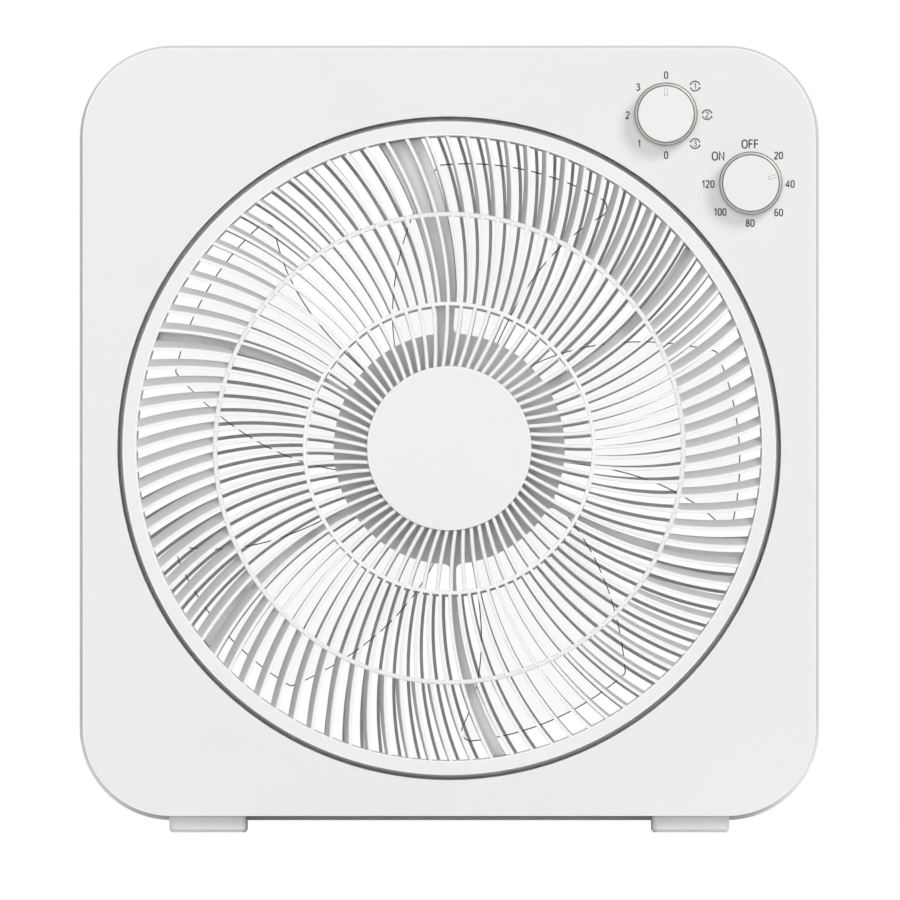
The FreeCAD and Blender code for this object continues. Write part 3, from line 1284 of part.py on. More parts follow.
def control_spindle(label, x, y, pointer, bottom):
    body = new_body(label)
    discs(body, label + "_bar", CENTRE, S.spindle_radius, bottom, SPINDLE_TOP)
    sketch = front_sketch(body, label + "_flat_outline", SPINDLE_TOP)
    rectangle(sketch, S.spindle_flat, -S.spindle_radius, 2 * S.spindle_radius, S.spindle_radius)
    pocket(body, label + "_flat", sketch, SPINDLE_TOP - S.knob_gap)
    on_spindle(body, x, y, pointer)


def control_knob(label, x, y, pointer):
    body = new_body(label)
    ring_low = S.knob_height - S.knob_ring_height
    ring_high = S.knob_height - S.knob_face_round
    discs(body, label + "_skirt", CENTRE, S.knob_radius, S.knob_gap, ring_low)
    face = discs(body, label + "_face", CENTRE, S.knob_face_radius, ring_low, S.knob_height)
    blend(body, label + "_face_edge", face, ring_at(S.knob_face_radius, S.knob_height), S.knob_face_round,
          "Chamfer")
    bores(body, label + "_bore", CENTRE, S.spindle_radius + S.pilot_clearance,
          SPINDLE_TOP + S.fit_clearance, S.knob_gap)
    key = front_sketch(body, label + "_key_outline", S.knob_gap)
    rectangle(key, S.spindle_flat + S.fit_clearance, -S.spindle_radius, 2 * S.spindle_radius,
              S.spindle_radius)
    pad(body, label + "_key", key, SPINDLE_TOP + S.fit_clearance - S.knob_gap)
    mark = front_sketch(body, label + "_pointer_outline", S.knob_height)
    rectangle(mark, S.pointer_start, -S.pointer_width / 2, S.knob_radius, S.pointer_width / 2)
    pocket(body, label + "_pointer", mark, S.pointer_depth)
    inner = S.knob_face_radius + S.pilot_clearance
    trim = turned(label + "_ring", [
        (inner, ring_low), (S.knob_radius, ring_low), (S.knob_radius, ring_high - S.knob_ring_bevel),
        (S.knob_radius - S.knob_ring_bevel, ring_high), (inner, ring_high)])
    on_spindle(body, x, y, pointer)
    on_spindle(trim, x, y, pointer)


switch = new_body("speed_switch")
sketch = front_sketch(switch, "switch_body_outline", CONTROL_FRONT - S.speed_body_depth)
half = S.speed_body_width / 2
rectangle(sketch, S.speed_across - half, S.speed_up - half, S.speed_across + half, S.speed_up + half)
pad(switch, "switch_body", sketch, S.speed_body_depth + S.control_ear_wall)
sketch = front_sketch(switch, "switch_ear_outline", CONTROL_FRONT)
rectangle(sketch, SPEED_EARS[0][0], S.speed_up - S.control_ear_radius, SPEED_EARS[1][0],
          S.speed_up + S.control_ear_radius)
pad(switch, "switch_ears", sketch, S.control_ear_wall)
discs(switch, "switch_ear_ends", SPEED_EARS, S.control_ear_radius, CONTROL_FRONT, CONTROL_SEAT)
bores(switch, "switch_ear_holes", SPEED_EARS, SCREW_HOLE, CONTROL_SEAT, CONTROL_FRONT)
timer = new_body("timer_unit")
discs(timer, "timer_body", [(S.timer_across, S.timer_up)], S.timer_body_radius,
      CONTROL_FRONT - S.timer_body_depth, CONTROL_SEAT)
sketch = front_sketch(timer, "timer_ear_outline", CONTROL_FRONT)
rectangle(sketch, S.timer_across - S.control_ear_radius, TIMER_EARS[0][1],
          S.timer_across + S.control_ear_radius, TIMER_EARS[1][1])
pad(timer, "timer_ears", sketch, S.control_ear_wall)
discs(timer, "timer_ear_ends", TIMER_EARS, S.control_ear_radius, CONTROL_FRONT, CONTROL_SEAT)
bores(timer, "timer_ear_holes", TIMER_EARS, SCREW_HOLE, CONTROL_SEAT, CONTROL_FRONT)
SPINDLE_BORE = S.spindle_radius + S.bush_clearance
for body, name, x, y, pointer, depth in (
        (switch, "speed", S.speed_across, S.speed_up, S.speed_pointer_angle, S.speed_body_depth),
        (timer, "timer", S.timer_across, S.timer_up, S.timer_pointer_angle, S.timer_body_depth)):
    bottom = CONTROL_FRONT - depth + S.motor_wall
    bores(body, name + "_bore", [(x, y)], SPINDLE_BORE, CONTROL_SEAT, bottom - S.fit_clearance)
    control_spindle(name + "_spindle", x, y, pointer, bottom)
    control_knob(name + "_knob", x, y, pointer)

# run capacitor of the fan motor, screwed to the front panel in the corner across from the knobs

capacitor = new_body("run_capacitor")
sketch = front_sketch(capacitor, "capacitor_outline", CONTROL_SEAT - S.capacitor_depth)
rectangle(sketch, -S.capacitor_across - S.capacitor_width / 2, S.capacitor_up - S.capacitor_height / 2,
          S.capacitor_width / 2 - S.capacitor_across, S.capacitor_up + S.capacitor_height / 2)
box = pad(capacitor, "capacitor_box", sketch, S.capacitor_depth)
blend(capacitor, "capacitor_edges", box, runs_along_z, S.capacitor_round)
sketch = front_sketch(capacitor, "capacitor_ear_outline", CONTROL_FRONT)
rectangle(sketch, -S.capacitor_across, S.capacitor_up - S.control_ear_radius, CAPACITOR_EAR_X,
          S.capacitor_up + S.control_ear_radius)
pad(capacitor, "capacitor_ear", sketch, S.control_ear_wall)
discs(capacitor, "capacitor_ear_end", CAPACITOR_EARS, S.control_ear_radius, CONTROL_FRONT, CONTROL_SEAT)
bores(capacitor, "capacitor_ear_hole", CAPACITOR_EARS, SCREW_HOLE, CONTROL_SEAT, CONTROL_FRONT)

# cable inlet: a bush in the back wall

BUSH_LEFT = GLAND_HOLE - S.fit_clearance
gland = turned("cable_bush", [
    (S.gland_bore, BACK), (BUSH_LEFT + S.gland_flange, BACK),
    (BUSH_LEFT + S.gland_flange, BACK + S.gland_flange_wall),
    (BUSH_LEFT, BACK + S.gland_flange_wall), (BUSH_LEFT, BACK_INNER + S.gland_inside),
    (S.gland_bore, BACK_INNER + S.gland_inside)])
on_spindle(gland, GLAND[0], GLAND[1], ZERO)

# screws

CONTROL_TIP = CONTROL_SEAT + S.control_stand - S.tip_clearance
screws("control_screws", CONTROL_EARS, CONTROL_FRONT, S.screw_head_height, CONTROL_TIP, S.screw_radius,
       S.screw_head_radius)
screws("case_screws", POSTS, TUBE_FRONT - S.tube_end, S.case_screw_head_height,
       SKIRT_BACK + S.case_screw_bite,
       S.case_screw_radius, S.case_screw_head_radius)
STEPS = [EAR_ANGLE + 360 / S.arm_count * i for i in range(int(S.arm_count.value))]
screws("bracket_screws",
       [(along_x(BRACKET_CIRCLE, angle), along_y(BRACKET_CIRCLE, angle)) for angle in STEPS],
       BRACKET_BACK, S.screw_head_height, BRACKET_SEAT + S.screw_bite, S.screw_radius, S.screw_head_radius)
STEPS = [as_size(360) / S.guard_screw_count * i for i in range(int(S.guard_screw_count.value))]
screws("guard_screws", [(along_x(GUARD_CIRCLE, angle), along_y(GUARD_CIRCLE, angle)) for angle in STEPS],
       FLANGE_BACK, S.screw_head_height, FLANGE_SEAT + S.screw_bite, S.screw_radius, S.screw_head_radius)

# check every object, then write one file for each piece

doc.recompute()
for item in doc.Objects:
    if "Invalid" in item.State or "Error" in item.State:
        raise RuntimeError("%s is not built: %s" % (item.Label, item.State))
for item in subparts:
    if item.Shape.isNull() or not item.Shape.isValid():
        raise RuntimeError("%s has no valid shape" % item.Label)
os.makedirs("parts", exist_ok=True)
for item in subparts:
    item.Shape.exportStep("parts/%s.step" % item.Label)
    box = item.Shape.BoundBox
    print("%-22s solids %d  volume %9.0f  x %.1f..%.1f  y %.1f..%.1f  z %.1f..%.1f" % (
        item.Label, len(item.Shape.Solids), item.Shape.Volume, box.XMin, box.XMax, box.YMin, box.YMax,
        box.ZMin, box.ZMax))
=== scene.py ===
import math

import bmesh
import bpy
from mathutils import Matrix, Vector


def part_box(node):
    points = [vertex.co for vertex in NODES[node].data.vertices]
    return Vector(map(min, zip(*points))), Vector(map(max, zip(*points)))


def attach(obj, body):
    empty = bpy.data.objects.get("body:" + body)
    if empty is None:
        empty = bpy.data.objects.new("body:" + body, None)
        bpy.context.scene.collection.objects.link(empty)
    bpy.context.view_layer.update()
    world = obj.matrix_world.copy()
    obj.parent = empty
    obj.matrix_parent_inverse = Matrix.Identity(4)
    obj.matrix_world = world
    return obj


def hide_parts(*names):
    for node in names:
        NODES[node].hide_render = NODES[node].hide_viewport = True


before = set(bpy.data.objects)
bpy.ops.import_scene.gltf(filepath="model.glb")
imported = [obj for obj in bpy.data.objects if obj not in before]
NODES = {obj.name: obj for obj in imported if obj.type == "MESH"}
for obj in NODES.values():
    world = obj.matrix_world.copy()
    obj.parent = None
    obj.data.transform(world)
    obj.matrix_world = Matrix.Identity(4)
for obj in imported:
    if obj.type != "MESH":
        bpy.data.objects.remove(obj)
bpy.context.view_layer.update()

# Box fan with a turning louvre. Unless metres are named, sizes are in millimetres, in the fan frame:
# x to the right, y up and z towards the viewer, from the point where the fan axis meets the front
# face of the casing.

MM = 0.001
PANEL_Y = -54.0
AXIS_HEIGHT = 189.2


def place(x, y, z):
    """A point of the fan frame in the row frame, in metres."""
    return Vector((x * MM, (PANEL_Y - z) * MM, (AXIS_HEIGHT + y) * MM))


# shader helpers

NOISE_LOW = 0.3
NOISE_HIGH = 0.7
MIX_FIRST, MIX_SECOND, MIX_RESULT = 6, 7, 2


def new_material(name):
    material = bpy.data.materials.new(name)
    material.use_nodes = True
    tree = material.node_tree
    return material, tree, tree.nodes["Principled BSDF"]


def add_node(tree, kind, **values):
    node = tree.nodes.new(kind)
    for key, value in values.items():
        setattr(node, key, value)
    return node


def map_range(tree, source, start, end, low=0.0, high=1.0):
    """A number that runs from low to high while the source runs from start to end."""
    node = add_node(tree, "ShaderNodeMapRange")
    limits = (("From Min", start), ("From Max", end), ("To Min", low), ("To Max", high))
    for socket, value in limits:
        node.inputs[socket].default_value = value
    tree.links.new(source, node.inputs["Value"])
    return node.outputs["Result"]


def calculate(tree, operation, first, second):
    node = add_node(tree, "ShaderNodeMath", operation=operation)
    tree.links.new(first, node.inputs[0])
    tree.links.new(second, node.inputs[1])
    return node.outputs["Value"]


def coordinates(tree, kind):
    """The sockets X, Y and Z of this kind of coordinates."""
    where = add_node(tree, "ShaderNodeTexCoord")
    split = add_node(tree, "ShaderNodeSeparateXYZ")
    tree.links.new(where.outputs[kind], split.inputs["Vector"])
    return split.outputs


def noise(tree, scale, detail=2.0, rough=0.55, stretch=None):
    """Noise in the piece's own coordinates, in lumps per metre, closer along the stretched axes."""
    source = add_node(tree, "ShaderNodeTexCoord").outputs["Object"]
    if stretch:
        mapping = add_node(tree, "ShaderNodeMapping")
        mapping.inputs["Scale"].default_value = stretch
        tree.links.new(source, mapping.inputs["Vector"])
        source = mapping.outputs["Vector"]
    grain = add_node(tree, "ShaderNodeTexNoise")
    grain.inputs["Scale"].default_value = scale
    grain.inputs["Detail"].default_value = detail
    grain.inputs["Roughness"].default_value = rough
    tree.links.new(source, grain.inputs["Vector"])
    return grain.outputs["Fac"]


def tint(tree, shader, source, low, high):
    """Lets a noise mix the colour of the shader from two."""
    node = add_node(tree, "ShaderNodeValToRGB")
    ends = ((NOISE_LOW, low), (NOISE_HIGH, high))
    for element, (position, colour) in zip(node.color_ramp.elements, ends):
        element.position = position
        element.color = (*colour, 1.0)
    tree.links.new(source, node.inputs["Fac"])
    tree.links.new(node.outputs["Color"], shader.inputs["Base Color"])


def vary(tree, shader, socket, source, low, high):
    """Lets a noise move a number of the shader between two values."""
    varied = map_range(tree, source, NOISE_LOW, NOISE_HIGH, low, high)
    tree.links.new(varied, shader.inputs[socket])


def vary_gloss(tree, shader, source, rough, limits):
    """Lets a noise move the roughness about a value, by as much as these limits."""
    vary(tree, shader, "Roughness", source, *(rough + limit for limit in limits))


def bump(tree, shader, source, strength, depth):
    node = add_node(tree, "ShaderNodeBump")
    node.inputs["Strength"].default_value = strength
    node.inputs["Distance"].default_value = depth
    tree.links.new(source, node.inputs["Height"])
    tree.links.new(node.outputs["Normal"], shader.inputs["Normal"])


def shaded(colour, share):
    return tuple(part * share for part in colour)


# materials; depths of the bumps in metres

DRIFT_SCALE = 9.0
FLOW_SCALE = 60.0
FLOW_SHADE = 0.95
MARK_SHADE = 0.86
GRAIN_DEPTH = 0.00003
MARK_DEPTH = 0.00002
MOULDED_IOR = 1.47
CLEAR_IOR = 1.49
GRAIN_GLOSS = (-0.05, 0.07)
MARK_GLOSS = (-0.06, 0.08)
FLOW_GLOSS = (0.0, 0.03)
FLOW_ALPHA = (0.8, 1.2)
EVEN = (1.0, 1.0, 1.0)
DRAWN = (1.0, 1.0, 12.0)
TURNED = (1.0, 14.0, 1.0)
WOUND = (1.0, 4.0, 1.0)
STACKED = (0.2, 9.0, 0.2)


def plastic(name, colour, rough, grain_scale=2600.0, grain=0.12, drift=0.975):
    """Moulded plastic: slow drifts of tone, and a fine spark-eroded grain that breaks up the gloss."""
    material, tree, shader = new_material(name)
    tint(tree, shader, noise(tree, DRIFT_SCALE), shaded(colour, drift), colour)
    fine = noise(tree, grain_scale, rough=0.6)
    vary_gloss(tree, shader, fine, rough, GRAIN_GLOSS)
    bump(tree, shader, fine, grain, GRAIN_DEPTH)
    shader.inputs["IOR"].default_value = MOULDED_IOR
    return material


def metal(name, colour, rough, grain_scale=900.0, stretch=DRAWN, grain=0.1):
    """Metal with cast, drawn or turned marks."""
    material, tree, shader = new_material(name)
    marks = noise(tree, grain_scale, rough=0.5, stretch=stretch)
    tint(tree, shader, marks, shaded(colour, MARK_SHADE), colour)
    vary_gloss(tree, shader, marks, rough, MARK_GLOSS)
    bump(tree, shader, marks, grain, MARK_DEPTH)
    shader.inputs["Metallic"].default_value = 1.0
    return material


def clear_plastic(name, colour, alpha, rough):
    """Thin clear plastic with faint flow marks."""
    material, tree, shader = new_material(name)
    flow = noise(tree, FLOW_SCALE)
    tint(tree, shader, flow, shaded(colour, FLOW_SHADE), colour)
    vary(tree, shader, "Alpha", flow, *shaded(FLOW_ALPHA, alpha))
    vary_gloss(tree, shader, flow, rough, FLOW_GLOSS)
    shader.inputs["IOR"].default_value = CLEAR_IOR
    return material


PANEL = plastic("panel_white", (0.85, 0.85, 0.847), 0.6)
SHELL = plastic("shell_white", (0.87, 0.87, 0.866), 0.6)
FOOT = plastic("foot_white", (0.74, 0.74, 0.735), 0.5)
GUARD = plastic("guard_white", (0.84, 0.84, 0.838), 0.6)
# A darker copy of the guard white: painted shade on the guard's ribs and middle ring, deep inside the
# fan.
GUARD_RIB_SHADE = plastic("guard_rib_shade", (0.66, 0.66, 0.658), 0.5)
LOUVRE = plastic("louvre_white", (0.92, 0.92, 0.918), 0.4)
# A brighter white: painted highlight on the edges of the rim, the cap, the panel and the knob faces.
EDGE_HIGHLIGHT = plastic("edge_highlight_white", (0.95, 0.95, 0.948), 0.4)
# A darker copy of the louvre white: painted shade on the flanks of the louvre's ribs.
FLANK_SHADE = plastic("louvre_flank_shade", (0.77, 0.77, 0.768), 0.6)
RIM = plastic("rim_white", (0.85, 0.85, 0.847), 0.4)
CAP = plastic("cap_white", (0.845, 0.845, 0.842), 0.4)
BRACKET = plastic("bracket_white", (0.85, 0.85, 0.848), 0.5)
KNOB = plastic("knob_white", (0.84, 0.84, 0.837), 0.42)
# Painted shade on the floor of the pointer's slot, round its inlay.
POINTER_SHADE = plastic("pointer_slot_shade", (0.32, 0.32, 0.318), 0.5)
DARK = plastic("dark_plastic", (0.05, 0.05, 0.055), 0.5, drift=0.8)
INK = plastic("print_grey", (0.05, 0.05, 0.052), 0.6, drift=0.85)
RUBBER = plastic("rubber", (0.04, 0.04, 0.04), 0.75, grain_scale=1500.0, grain=0.25, drift=0.8)
CLEAR = clear_plastic("clear_blade", (0.93, 0.935, 0.94), 0.04, 0.05)
# Painted shade on the edges of the clear blades.
BLADE_EDGE_SHADE = plastic("clear_blade_edge_shade", (0.1, 0.103, 0.106), 0.3, drift=0.8)
RING = metal("knob_ring", (0.47, 0.441, 0.408), 0.46, 700.0, TURNED)
# A darker copy of the ring's metal: painted shade on the rounded outer edge of the trim.
RING_EDGE_SHADE = metal("knob_ring_edge_shade", (0.24, 0.225, 0.205), 0.4, 700.0, TURNED)
STEEL = metal("steel", (0.55, 0.56, 0.58), 0.32)
CAN = metal("motor_can", (0.6, 0.61, 0.62), 0.35, 400.0, EVEN)
CAST = metal("cast_cover", (0.52, 0.53, 0.54), 0.48, 500.0, EVEN, 0.35)
STACK = metal("laminations", (0.2, 0.2, 0.21), 0.5, 300.0, STACKED, 0.4)
COPPER = metal("winding", (0.62, 0.26, 0.1), 0.35, 700.0, WOUND, 0.3)
BRONZE = metal("bronze", (0.5, 0.36, 0.17), 0.45, 900.0, EVEN, 0.2)

# The nodes that aren't named here are steel.
NODE_MATERIALS = {
    "front_shell": PANEL, "rear_shell": SHELL, "air_duct": SHELL, "left_foot": FOOT,
    "right_foot": FOOT, "rear_guard": GUARD, "louvre_grille": LOUVRE, "louvre_cap": CAP,
    "louvre_bracket": BRACKET, "louvre_motor": CAN, "fan_wheel": CLEAR, "wheel_nut": DARK,
    "motor_front_cover": CAST, "motor_rear_cover": CAST, "motor_front_bush": BRONZE,
    "motor_rear_bush": BRONZE, "motor_stator": STACK, "motor_windings": COPPER,
    "motor_rotor": STACK, "speed_switch": DARK, "timer_unit": CAN, "speed_spindle": DARK,
    "speed_knob": KNOB, "speed_knob_ring": RING, "timer_knob": KNOB, "timer_knob_ring": RING,
    "run_capacitor": DARK, "cable_bush": RUBBER,
}
for name, node in NODES.items():
    node.data.materials.clear()
    node.data.materials.append(NODE_MATERIALS.get(name, STEEL))

# The ledge of the rear shell takes painted shade, a darker tone along the seam: metres behind the seam
# and above the floor, where the painted shade fades.
SEAM_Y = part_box("rear_shell")[0][1]
LEDGE_NEAR, LEDGE_FAR = 0.0004, 0.0012
FLOOR_NEAR, FLOOR_FAR = 0.03, 0.06
# painted shade of the ledge
LEDGE_SHADE = (0.64, 0.64, 0.637, 1.0)


def paint_ledge_shade(material):
    """Paints shade on the rear shell: a darker tone on the ledge along the seam, except near the floor.
    """
    tree = material.node_tree
    colour = tree.nodes["Principled BSDF"].inputs["Base Color"]
    plain = colour.links[0].from_socket
    at = coordinates(tree, "Object")
    ledge = map_range(tree, at["Y"], SEAM_Y + LEDGE_FAR, SEAM_Y + LEDGE_NEAR)
    rise = map_range(tree, at["Z"], FLOOR_NEAR, FLOOR_FAR)
    mix = add_node(tree, "ShaderNodeMix", data_type="RGBA")
    tree.links.new(calculate(tree, "MULTIPLY", ledge, rise), mix.inputs["Factor"])
    tree.links.new(plain, mix.inputs[MIX_FIRST])
    mix.inputs[MIX_SECOND].default_value = LEDGE_SHADE
    tree.links.new(mix.outputs[MIX_RESULT], colour)


paint_ledge_shade(SHELL)

# rounded edges of the CAD pieces

WELD_REACH = 0.01
EASED_ANGLE = math.radians(40)
FACE_WEIGHT = 100
BLADE_EDGE_WIDTH = 0.55
EASED_NODES = {
    "speed_knob": 0.25, "timer_knob": 0.25, "louvre_cap": 0.3, "left_foot": 0.35, "right_foot": 0.35,
    "front_shell": 0.4, "rear_shell": 0.5, "louvre_bracket": 0.4,
}


def ease(item, width, segments=2):
    """Rounds the sharp edges of a piece by this width."""
    weld = item.modifiers.new("weld", "WELD")
    weld.merge_threshold = WELD_REACH * MM
    easing = item.modifiers.new("easing", "BEVEL")
    easing.width = width * MM
    easing.segments = segments
    easing.limit_method = "ANGLE"
    easing.angle_limit = EASED_ANGLE
    settled = item.modifiers.new("settled", "WEIGHTED_NORMAL")
    settled.keep_sharp = True
    settled.weight = FACE_WEIGHT
    return easing


# The clear blades show by their edges alone, so those take painted shade, a dark finish that stands in
# for the light the clear edges turn away.
wheel = NODES["fan_wheel"]
wheel.data.materials.append(BLADE_EDGE_SHADE)
edging = ease(wheel, BLADE_EDGE_WIDTH, segments=1)
edging.material = len(wheel.data.materials) - 1
edging.use_clamp_overlap = False
for name, width in EASED_NODES.items():
    ease(NODES[name], width)

# mesh helpers; a finish is the place of a face's material in the piece's list

SHARP = math.radians(35)
ROUND_SHARE = 0.45


def finish_piece(name, bm, materials, body, slot, *replaced):
    """Turns a mesh under construction into a piece that rides a body."""
    bmesh.ops.recalc_face_normals(bm, faces=bm.faces)
    for face in bm.faces:
        face.smooth = True
    for edge in bm.edges:
        if not edge.is_manifold or edge.calc_face_angle(0.0) > SHARP:
            edge.smooth = False
    mesh = bpy.data.meshes.new(name)
    bm.to_mesh(mesh)
    bm.free()
    for material in materials:
        mesh.materials.append(material)
    item = bpy.data.objects.new(name, mesh)
    bpy.context.scene.collection.objects.link(item)
    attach(item, body)
    if replaced:
        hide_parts(*replaced)
    return item


def bridge(bm, first, second):
    """Quads between two closed loops of vertices, from the first side of the loops on."""
    count = len(first)
    made = []
    for i in range(count):
        following = (i + 1) % count
        made.append(bm.faces.new((first[i], first[following], second[following], second[i])))
    return made


def block(bm, corners, low, high, finish=0):
    """An upright block on a flat outline of the fan frame."""
    below, above = ([bm.verts.new(place(p.x, p.y, z)) for p in corners] for z in (low, high))
    for face in bridge(bm, below, above) + [bm.faces.new(below), bm.faces.new(above)]:
        face.material_index = finish


def lathe(bm, profile, finish=0, steps=192, x=0.0, y=0.0):
    """A closed profile of radius and z, turned about the fan axis or the one through x and y.

    A point may give the finish of the face that follows it as a third number.
    """
    rows = []
    for step in range(steps):
        angle = 2 * math.pi * step / steps
        across, up = math.cos(angle), math.sin(angle)
        rows.append([bm.verts.new(place(x + radius * across, y + radius * up, z))
                     for radius, z, *_ in profile])
    for first, second in zip(rows, rows[1:] + rows[:1]):
        for face, (_, _, *given) in zip(bridge(bm, first, second), profile):
            face.material_index = given[0] if given else finish


def eased(corners, radius, steps=3):
    """A closed outline with rounded corners; a corner may give its radius as a third number."""
    points = []
    count = len(corners)
    for i, corner in enumerate(corners):
        here = Vector(corner[:2])
        before = Vector(corners[i - 1][:2]) - here
        after = Vector(corners[(i + 1) % count][:2]) - here
        size = corner[2] if len(corner) > 2 else radius
        size = min(size, before.length * ROUND_SHARE, after.length * ROUND_SHARE)
        for step in range(steps + 1):
            t = step / steps
            first = here + before.normalized() * size * (1 - t)
            second = here + after.normalized() * size * t
            points.append(tuple(first.lerp(second, t)))
    return points


def ring(bm, inner, outer, back, front, radius, finish=0):
    """A ring about the fan axis with a rounded rectangular section."""
    section = [(inner, back), (inner, front), (outer, front), (outer, back)]
    lathe(bm, eased(section, radius), finish)


# swept ribs, shared by the louvre and the rear guard

SWEEP_START = 70.0
SWEEP_RADIUS = 177.5
SWEEP_CENTRE = math.hypot(SWEEP_START, SWEEP_RADIUS)
RIB_ROUNDS = 4
RIB_TAPER = 0.8
RIB_BACK_ROUND = 0.1
VANE_FRONT = -0.6
UPRIGHT = Vector((0.0, 0.0))


def sweep(radius):
    """The place and the way across of a rib's middle line at a radius, if the rib starts along x."""
    share = ((SWEEP_CENTRE ** 2 + SWEEP_RADIUS ** 2 - radius ** 2)
             / (2 * SWEEP_CENTRE * SWEEP_RADIUS))
    turn = math.acos(share) - math.atan2(SWEEP_START, SWEEP_RADIUS)
    at = Vector((SWEEP_START + SWEEP_RADIUS * math.sin(turn), SWEEP_RADIUS * (1 - math.cos(turn))))
    return at, Vector((-math.sin(turn), math.cos(turn)))


def turned_by(vector, degrees):
    angle = math.radians(degrees)
    return Vector((vector.x * math.cos(angle) - vector.y * math.sin(angle),
                   vector.x * math.sin(angle) + vector.y * math.cos(angle)))


def rib_point(radius, angle, aside, shift):
    """The point of a shifted rib at this radius, to the side of the rib's middle line."""
    along = radius
    for _ in range(RIB_ROUNDS):
        at, across = sweep(along)
        point = turned_by(at + across * aside, angle) + shift
        along += radius - point.length
    return point


def rib(bm, inner, outer, angle, profile, steps, flank=0, finish=0, lean=UPRIGHT):
    """A rib with plane sides, of a profile of across and z that has four corners.

    It ends on the inner and the outer radius, and leans one way with its depth behind the front.
    """
    rows = []
    for step in range(steps + 1):
        radius = inner + (outer - inner) * step / steps
        row = []
        for aside, z in profile:
            point = rib_point(radius, angle, aside, lean * (VANE_FRONT - z))
            row.append(bm.verts.new(place(point.x, point.y, z)))
        rows.append(row)
    corner = len(profile) // 4
    for first, second in zip(rows, rows[1:]):
        faces = bridge(bm, first, second)
        for face in faces:
            face.material_index = finish
        for side in (corner - 1, 3 * corner - 1):
            faces[side].material_index = flank
            for k in (side, side + 1):
                bm.edges.get((first[k], second[k])).smooth = False
    bm.faces.new(rows[0])
    bm.faces.new(rows[-1])


def rib_profile(width, front, back, crown, steps=3):
    """A rib section with a rounded front and a slight taper to the back."""
    half = width / 2
    foot = half * RIB_TAPER
    return eased([(-foot, back, RIB_BACK_ROUND), (-half, front), (half, front),
                  (foot, back, RIB_BACK_ROUND)], crown, steps)


def ribs(bm, count, phase, inner, outer, profile, steps, **look):
    """Ribs all the way round, the first of them at this angle."""
    for i in range(count):
        rib(bm, inner, outer, phase + 360 * i / count, profile, steps, **look)


# louvre moulding: rim, two rings, hub, slanted vanes, inner ribs, hub ribs and their low roots

# The flanks of the vanes, inner ribs and hub ribs take painted shade, a darker copy of the louvre
# white.
ON_RIM, ON_FLANK_SHADE, ON_EDGE_HIGHLIGHT = 1, 2, 3
# The rounded edges of the rim take a painted highlight, a brighter white.
RIM_PROFILE = [
    (154.0, -14.0, ON_RIM), (154.0, 0.7, ON_EDGE_HIGHLIGHT), (154.2, 1.0, ON_EDGE_HIGHLIGHT), (154.75, 1.0, ON_RIM),
    (160.4, 1.0, ON_EDGE_HIGHLIGHT), (160.85, 1.0, ON_EDGE_HIGHLIGHT), (161.0, 0.7, ON_RIM), (161.05, -2.0, ON_RIM),
    (162.5, -7.0, ON_RIM), (162.5, -14.0, ON_RIM),
]
HUB_PROFILE = [(9.0, -4.0), (9.0, -1.55), (39.7, -1.55), (39.7, -13.0), (37.2, -13.0), (37.2, -4.0)]
HUB_ROUND = 0.2
OUTER_RING = (114.2, 116.5)
OUTER_RING_FRONT = -1.0
INNER_RING = (70.3, 72.2)
RING_ROUND = 0.5
VANE_COUNT = 96
VANE_PHASE = 0.24
VANE_SPAN = (116.0, 154.3)
INNER_RIB_SPAN = (71.9, 116.3)
VANE_WIDTH = 1.65
VANE_BACK = -7.0
RIB_BACK = -8.5
HUB_RIB_COUNT = 64
HUB_RIB_PHASE = 0.75
HUB_RIB_SPAN = (40.6, 70.6)
HUB_ROOT_SPAN = (39.2, 41.0)
HUB_RIB_WIDTH = 1.9
HUB_ROOT_FRONT = -1.6
LEAN_WAY = math.radians(121.4)
LEAN_SLOPE = 0.69
LEAN = Vector((math.cos(LEAN_WAY), math.sin(LEAN_WAY))) * LEAN_SLOPE
VANE_STEPS = 12
HUB_RIB_STEPS = 5

vane = rib_profile(VANE_WIDTH, VANE_FRONT, VANE_BACK, crown=0.3)
inner_rib = rib_profile(VANE_WIDTH, VANE_FRONT, RIB_BACK, crown=0.4)
hub_rib = rib_profile(HUB_RIB_WIDTH, VANE_FRONT, RIB_BACK, crown=0.9, steps=5)
hub_root = rib_profile(HUB_RIB_WIDTH, HUB_ROOT_FRONT, RIB_BACK, crown=0.2)
bm = bmesh.new()
lathe(bm, RIM_PROFILE)
ring(bm, *OUTER_RING, RIB_BACK, OUTER_RING_FRONT, RING_ROUND, finish=ON_RIM)
ring(bm, *INNER_RING, RIB_BACK, VANE_FRONT, RING_ROUND)
lathe(bm, eased(HUB_PROFILE, HUB_ROUND))
ribs(bm, VANE_COUNT, VANE_PHASE, *VANE_SPAN, vane, VANE_STEPS, flank=ON_FLANK_SHADE, lean=LEAN)
ribs(bm, VANE_COUNT, VANE_PHASE, *INNER_RIB_SPAN, inner_rib, VANE_STEPS, flank=ON_FLANK_SHADE)
ribs(bm, HUB_RIB_COUNT, HUB_RIB_PHASE, *HUB_RIB_SPAN, hub_rib, HUB_RIB_STEPS, flank=ON_FLANK_SHADE)
ribs(bm, HUB_RIB_COUNT, HUB_RIB_PHASE, *HUB_ROOT_SPAN, hub_root, 1)
finish_piece("louvre_moulding", bm, [LOUVRE, RIM, FLANK_SHADE, EDGE_HIGHLIGHT], "louvre", "louvre", "louvre_grille")

# edge of the cap, over its bevel, with a painted highlight on its rounding; each point is so far inside
# the edge and behind the front

EDGE_PROUD = 0.015
CAP_EDGE = [(1.6, 0.6, 0), (1.6, 0.0, 0), (0.6, 0.0, 1), (0.15, 0.1, 1), (0.0, 0.4, 0), (0.0, 1.4, 0),
            (1.6, 1.4, 0)]
low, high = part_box("louvre_cap")
outer = high[0] / MM
front = PANEL_Y - low[1] / MM + EDGE_PROUD
bm = bmesh.new()
lathe(bm, [(outer - inset, front - drop, finish) for inset, drop, finish in CAP_EDGE])
finish_piece("cap_edge", bm, [CAP, EDGE_HIGHLIGHT], "louvre", "louvre_cap")

# rear guard moulding: flange, rings, hub plate and ribs

